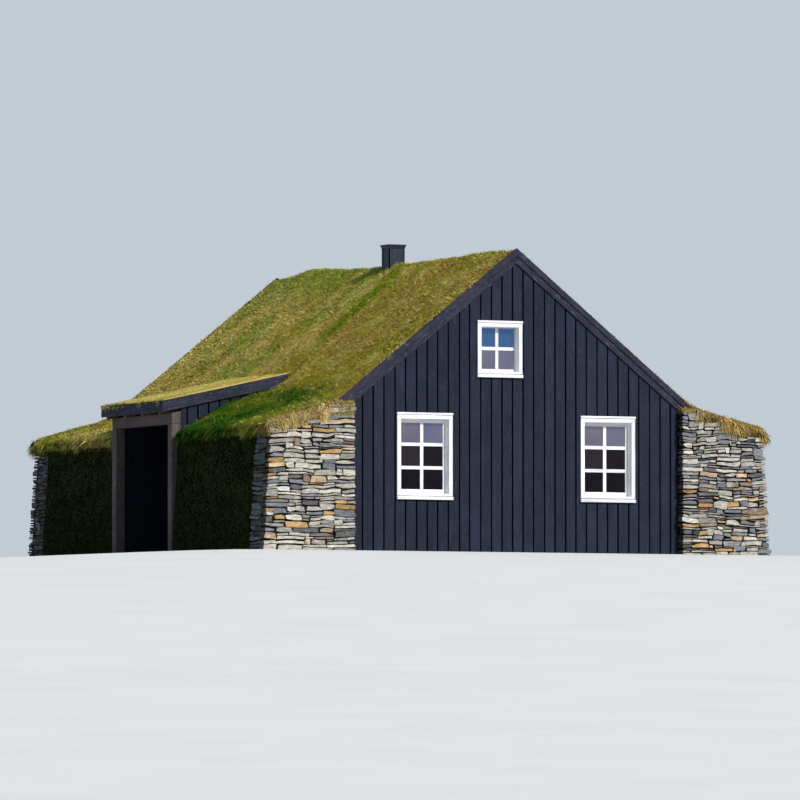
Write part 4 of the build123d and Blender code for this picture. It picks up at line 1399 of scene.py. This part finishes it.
def all_fringes():
    for ways, end in ((1, "front"), (-1, "back")):
        for side in (1, -1):
            hand = "right" if side * ways > 0 else "left"
            fringe(f"{end}_{hand}_cap_fringe", cap_front_line(side, ways),
                   outward=(0, -ways, 0), **CAP_FRINGES[side])
            verge = [(ways * side * x, ways * (FRONT + 0.005), APEX_Z - ROOF_SLOPE * x)
                     for x in np.linspace(0.08, BARGE_FOOT_X - 0.05, 12)]
            fringe(f"{end}_{hand}_verge_fringe", verge, VERGE_BLADES[side],
                   length=(0.02, 0.055), outward=(ways * side * 0.3, -ways, 0.5), hang=-0.1,
                   straw_share=0.9, spread=0.012, pale=BLEACHED)
    edge_z = SEAT_Z - CAP_SLOPE * (CAP_X - CAP_TURN_X) - 0.07
    end_y = -STONE_FRONT - 0.05
    for name, side, y0, y1 in (("right_eave_fringe", 1, -end_y, end_y),
                               ("left_front_eave_fringe", -1, -end_y, -PORCH_END - 0.02),
                               ("left_rear_eave_fringe", -1, PORCH_END + 0.02, end_y)):
        line = [(side * CAP_X, y0, edge_z), (side * CAP_X, y1, edge_z)]
        fringe(name, line, per_metre=1500, length=(0.04, 0.14), outward=(side, 0, 0), hang=0.6,
               straw_share=0.3)
    eave = [(-PORCH_TURF_END_X - 0.01, y, PORCH_EAVE_Z) for y in (-PORCH_END, PORCH_END)]
    fringe("porch_eave_fringe", eave, per_metre=900, length=(0.03, 0.08), outward=(-1, 0, 0.3),
           hang=0.1, straw_share=0.5, spread=0.03)


# Everything that is seen
for turned in (False, True):
    gable(turned)
    gable_windows(turned)
porch_end("porch_front_wall", -1)
porch_end("porch_rear_wall", 1)
left_wall()
trim()
door()
chimney()
for node, side, turned in (("front_right_stone_wall", 1, False),
                           ("front_left_stone_wall", -1, False),
                           ("back_left_stone_wall", 1, True),
                           ("back_right_stone_wall", -1, True)):
    stone_end(node, side, turned)

roof_surface = roof_turf()
porch_surface = porch_turf()
grass("roof_grass", roof_surface)
grass("roof_straw", roof_surface, density=200, length=(0.06, 0.12), straw=1.0)
grass("porch_grass", porch_surface)
for node in ("right_turf_wall", "left_turf_wall_front", "left_turf_wall_rear"):
    grass(node + "_grass", side_turf(node), density=2800, length=(0.04, 0.10),
          edge_shade=False)
all_fringes()

for node, material in (("floor", FLOOR_BOARDS), ("loft_floor", FLOOR_BOARDS),
                       ("right_wall", DECK_BOARDS), ("right_roof_deck", DECK_BOARDS),
                       ("left_roof_deck", DECK_BOARDS), ("porch_roof_deck", DECK_BOARDS)):
    for material_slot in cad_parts[node].material_slots:
        material_slot.material = material


# Floor: level under the house, with a gentle fall away from it, because the photograph's
# camera stands below the house's foot
GROUND_REACH = 150.0
GROUND_FALL = 0.05
GROUND_RINGS = (12, 25), (13, 24)   # reach and number of the near rings and of the far ones
GROUND_SIDES = 96
GROUND_MARGIN = 0.4
PALE_GREYS = (0.59, 0.59, 0.58), (0.62, 0.62, 0.61)


def ground():
    (near, near_count), (far, far_count) = GROUND_RINGS
    rings = np.concatenate([np.linspace(0, near, near_count),
                            np.geomspace(far, GROUND_REACH, far_count)])
    angles = np.linspace(0, 2 * pi, GROUND_SIDES + 1)[:-1]
    reach, angle = np.meshgrid(rings, angles, indexing="ij")
    x, y = reach * np.cos(angle), reach * np.sin(angle)
    past_x = np.maximum(abs(x) - FOOT_X - GROUND_MARGIN, 0)
    past_y = np.maximum(abs(y) + STONE_FRONT - GROUND_MARGIN, 0)
    past = np.hypot(past_x, past_y)
    z = -GROUND_FALL * past ** 2 / (past + 1.0)
    points = rows_of(x, y, z)
    index = np.arange(len(points)).reshape(reach.shape)
    after = np.roll(index, -1, 1)
    faces = np.stack([index[:-1], index[1:], after[1:], after[:-1]], -1).reshape(-1, 4)
    mesh = mesh_of_rows("ground", points, faces, smooth=True)
    shading = Shading("pale_floor", 0.9, 0.2)
    soft = shading.noise(shading.place(), 0.6, 3.0)
    colour = shading.ramp(soft, *zip((0.3, 0.7), PALE_GREYS))
    mesh.materials.append(shading.finish(colour))
    floor = placed("ground", mesh)


ground()

# Light: a soft high sun from the front, a little to the right, and a pale sky all round
SUN_AZIMUTH = radians(19)
SUN_ELEVATION = radians(36)
SUN_ENERGY = 4.6
SUN_ANGLE = radians(4)
SUN_COLOUR = (1.0, 0.965, 0.91)
SUN_DISTANCE = 60
SKY, BACKDROP = (0.29, 0.37, 0.48), (0.54, 0.60, 0.66)
PALE_SIDE = (0.47, 0.88, 0.0)       # the backdrop is palest behind the house


def lights():
    sun = bpy.data.lights.new("key", "SUN")
    sun.energy = SUN_ENERGY
    sun.angle = SUN_ANGLE
    sun.color = SUN_COLOUR
    key = placed("key", sun)
    towards = Vector((sin(SUN_AZIMUTH) * cos(SUN_ELEVATION),
                      -cos(SUN_AZIMUTH) * cos(SUN_ELEVATION), sin(SUN_ELEVATION)))
    key.rotation_euler = towards.to_track_quat("Z", "Y").to_euler()
    key.location = towards * SUN_DISTANCE
    world = bpy.data.worlds.new("pale_sky")
    bpy.context.scene.world = world
    world.use_nodes = True
    tree = world.node_tree
    direction = tree.nodes.new("ShaderNodeTexCoord").outputs["Generated"]
    towards_back = tree.nodes.new("ShaderNodeVectorMath")
    towards_back.operation = "DOT_PRODUCT"
    towards_back.inputs[1].default_value = PALE_SIDE
    ramp = tree.nodes.new("ShaderNodeValToRGB")
    for element, colour in zip(ramp.color_ramp.elements, (SKY, BACKDROP)):
        element.color = (*colour, 1)
    tree.links.new(direction, towards_back.inputs[0])
    tree.links.new(towards_back.outputs["Value"], ramp.inputs["Fac"])
    tree.links.new(ramp.outputs["Color"], tree.nodes["Background"].inputs["Color"])
    bpy.context.scene.view_settings.view_transform = "Standard"


lights()

# Camera: the photograph's place and view, turned so that the whole house shows
CAMERA_PLACE = (-62.69, -129.64, -3.526)
FOCAL_PIXELS = 8300
IMAGE_PIXELS = 800
SENSOR = 36.0
PHOTO_YAW = 27.8
PHOTO_PITCH = 2.865
TURN_PIXELS = (-282, -52)


def camera():
    data = bpy.data.cameras.new("camera")
    data.sensor_width = SENSOR
    data.lens = SENSOR * FOCAL_PIXELS / IMAGE_PIXELS
    data.clip_end = 1000
    yaw = radians(PHOTO_YAW) + atan(TURN_PIXELS[0] / FOCAL_PIXELS)
    pitch = radians(PHOTO_PITCH) + atan(TURN_PIXELS[1] / FOCAL_PIXELS)
    ahead = Vector((sin(yaw) * cos(pitch), cos(yaw) * cos(pitch), sin(pitch)))
    eye = placed("camera", data)
    eye.location = CAMERA_PLACE
    eye.rotation_euler = ahead.to_track_quat("-Z", "Y").to_euler()
    bpy.context.scene.camera = eye


camera()
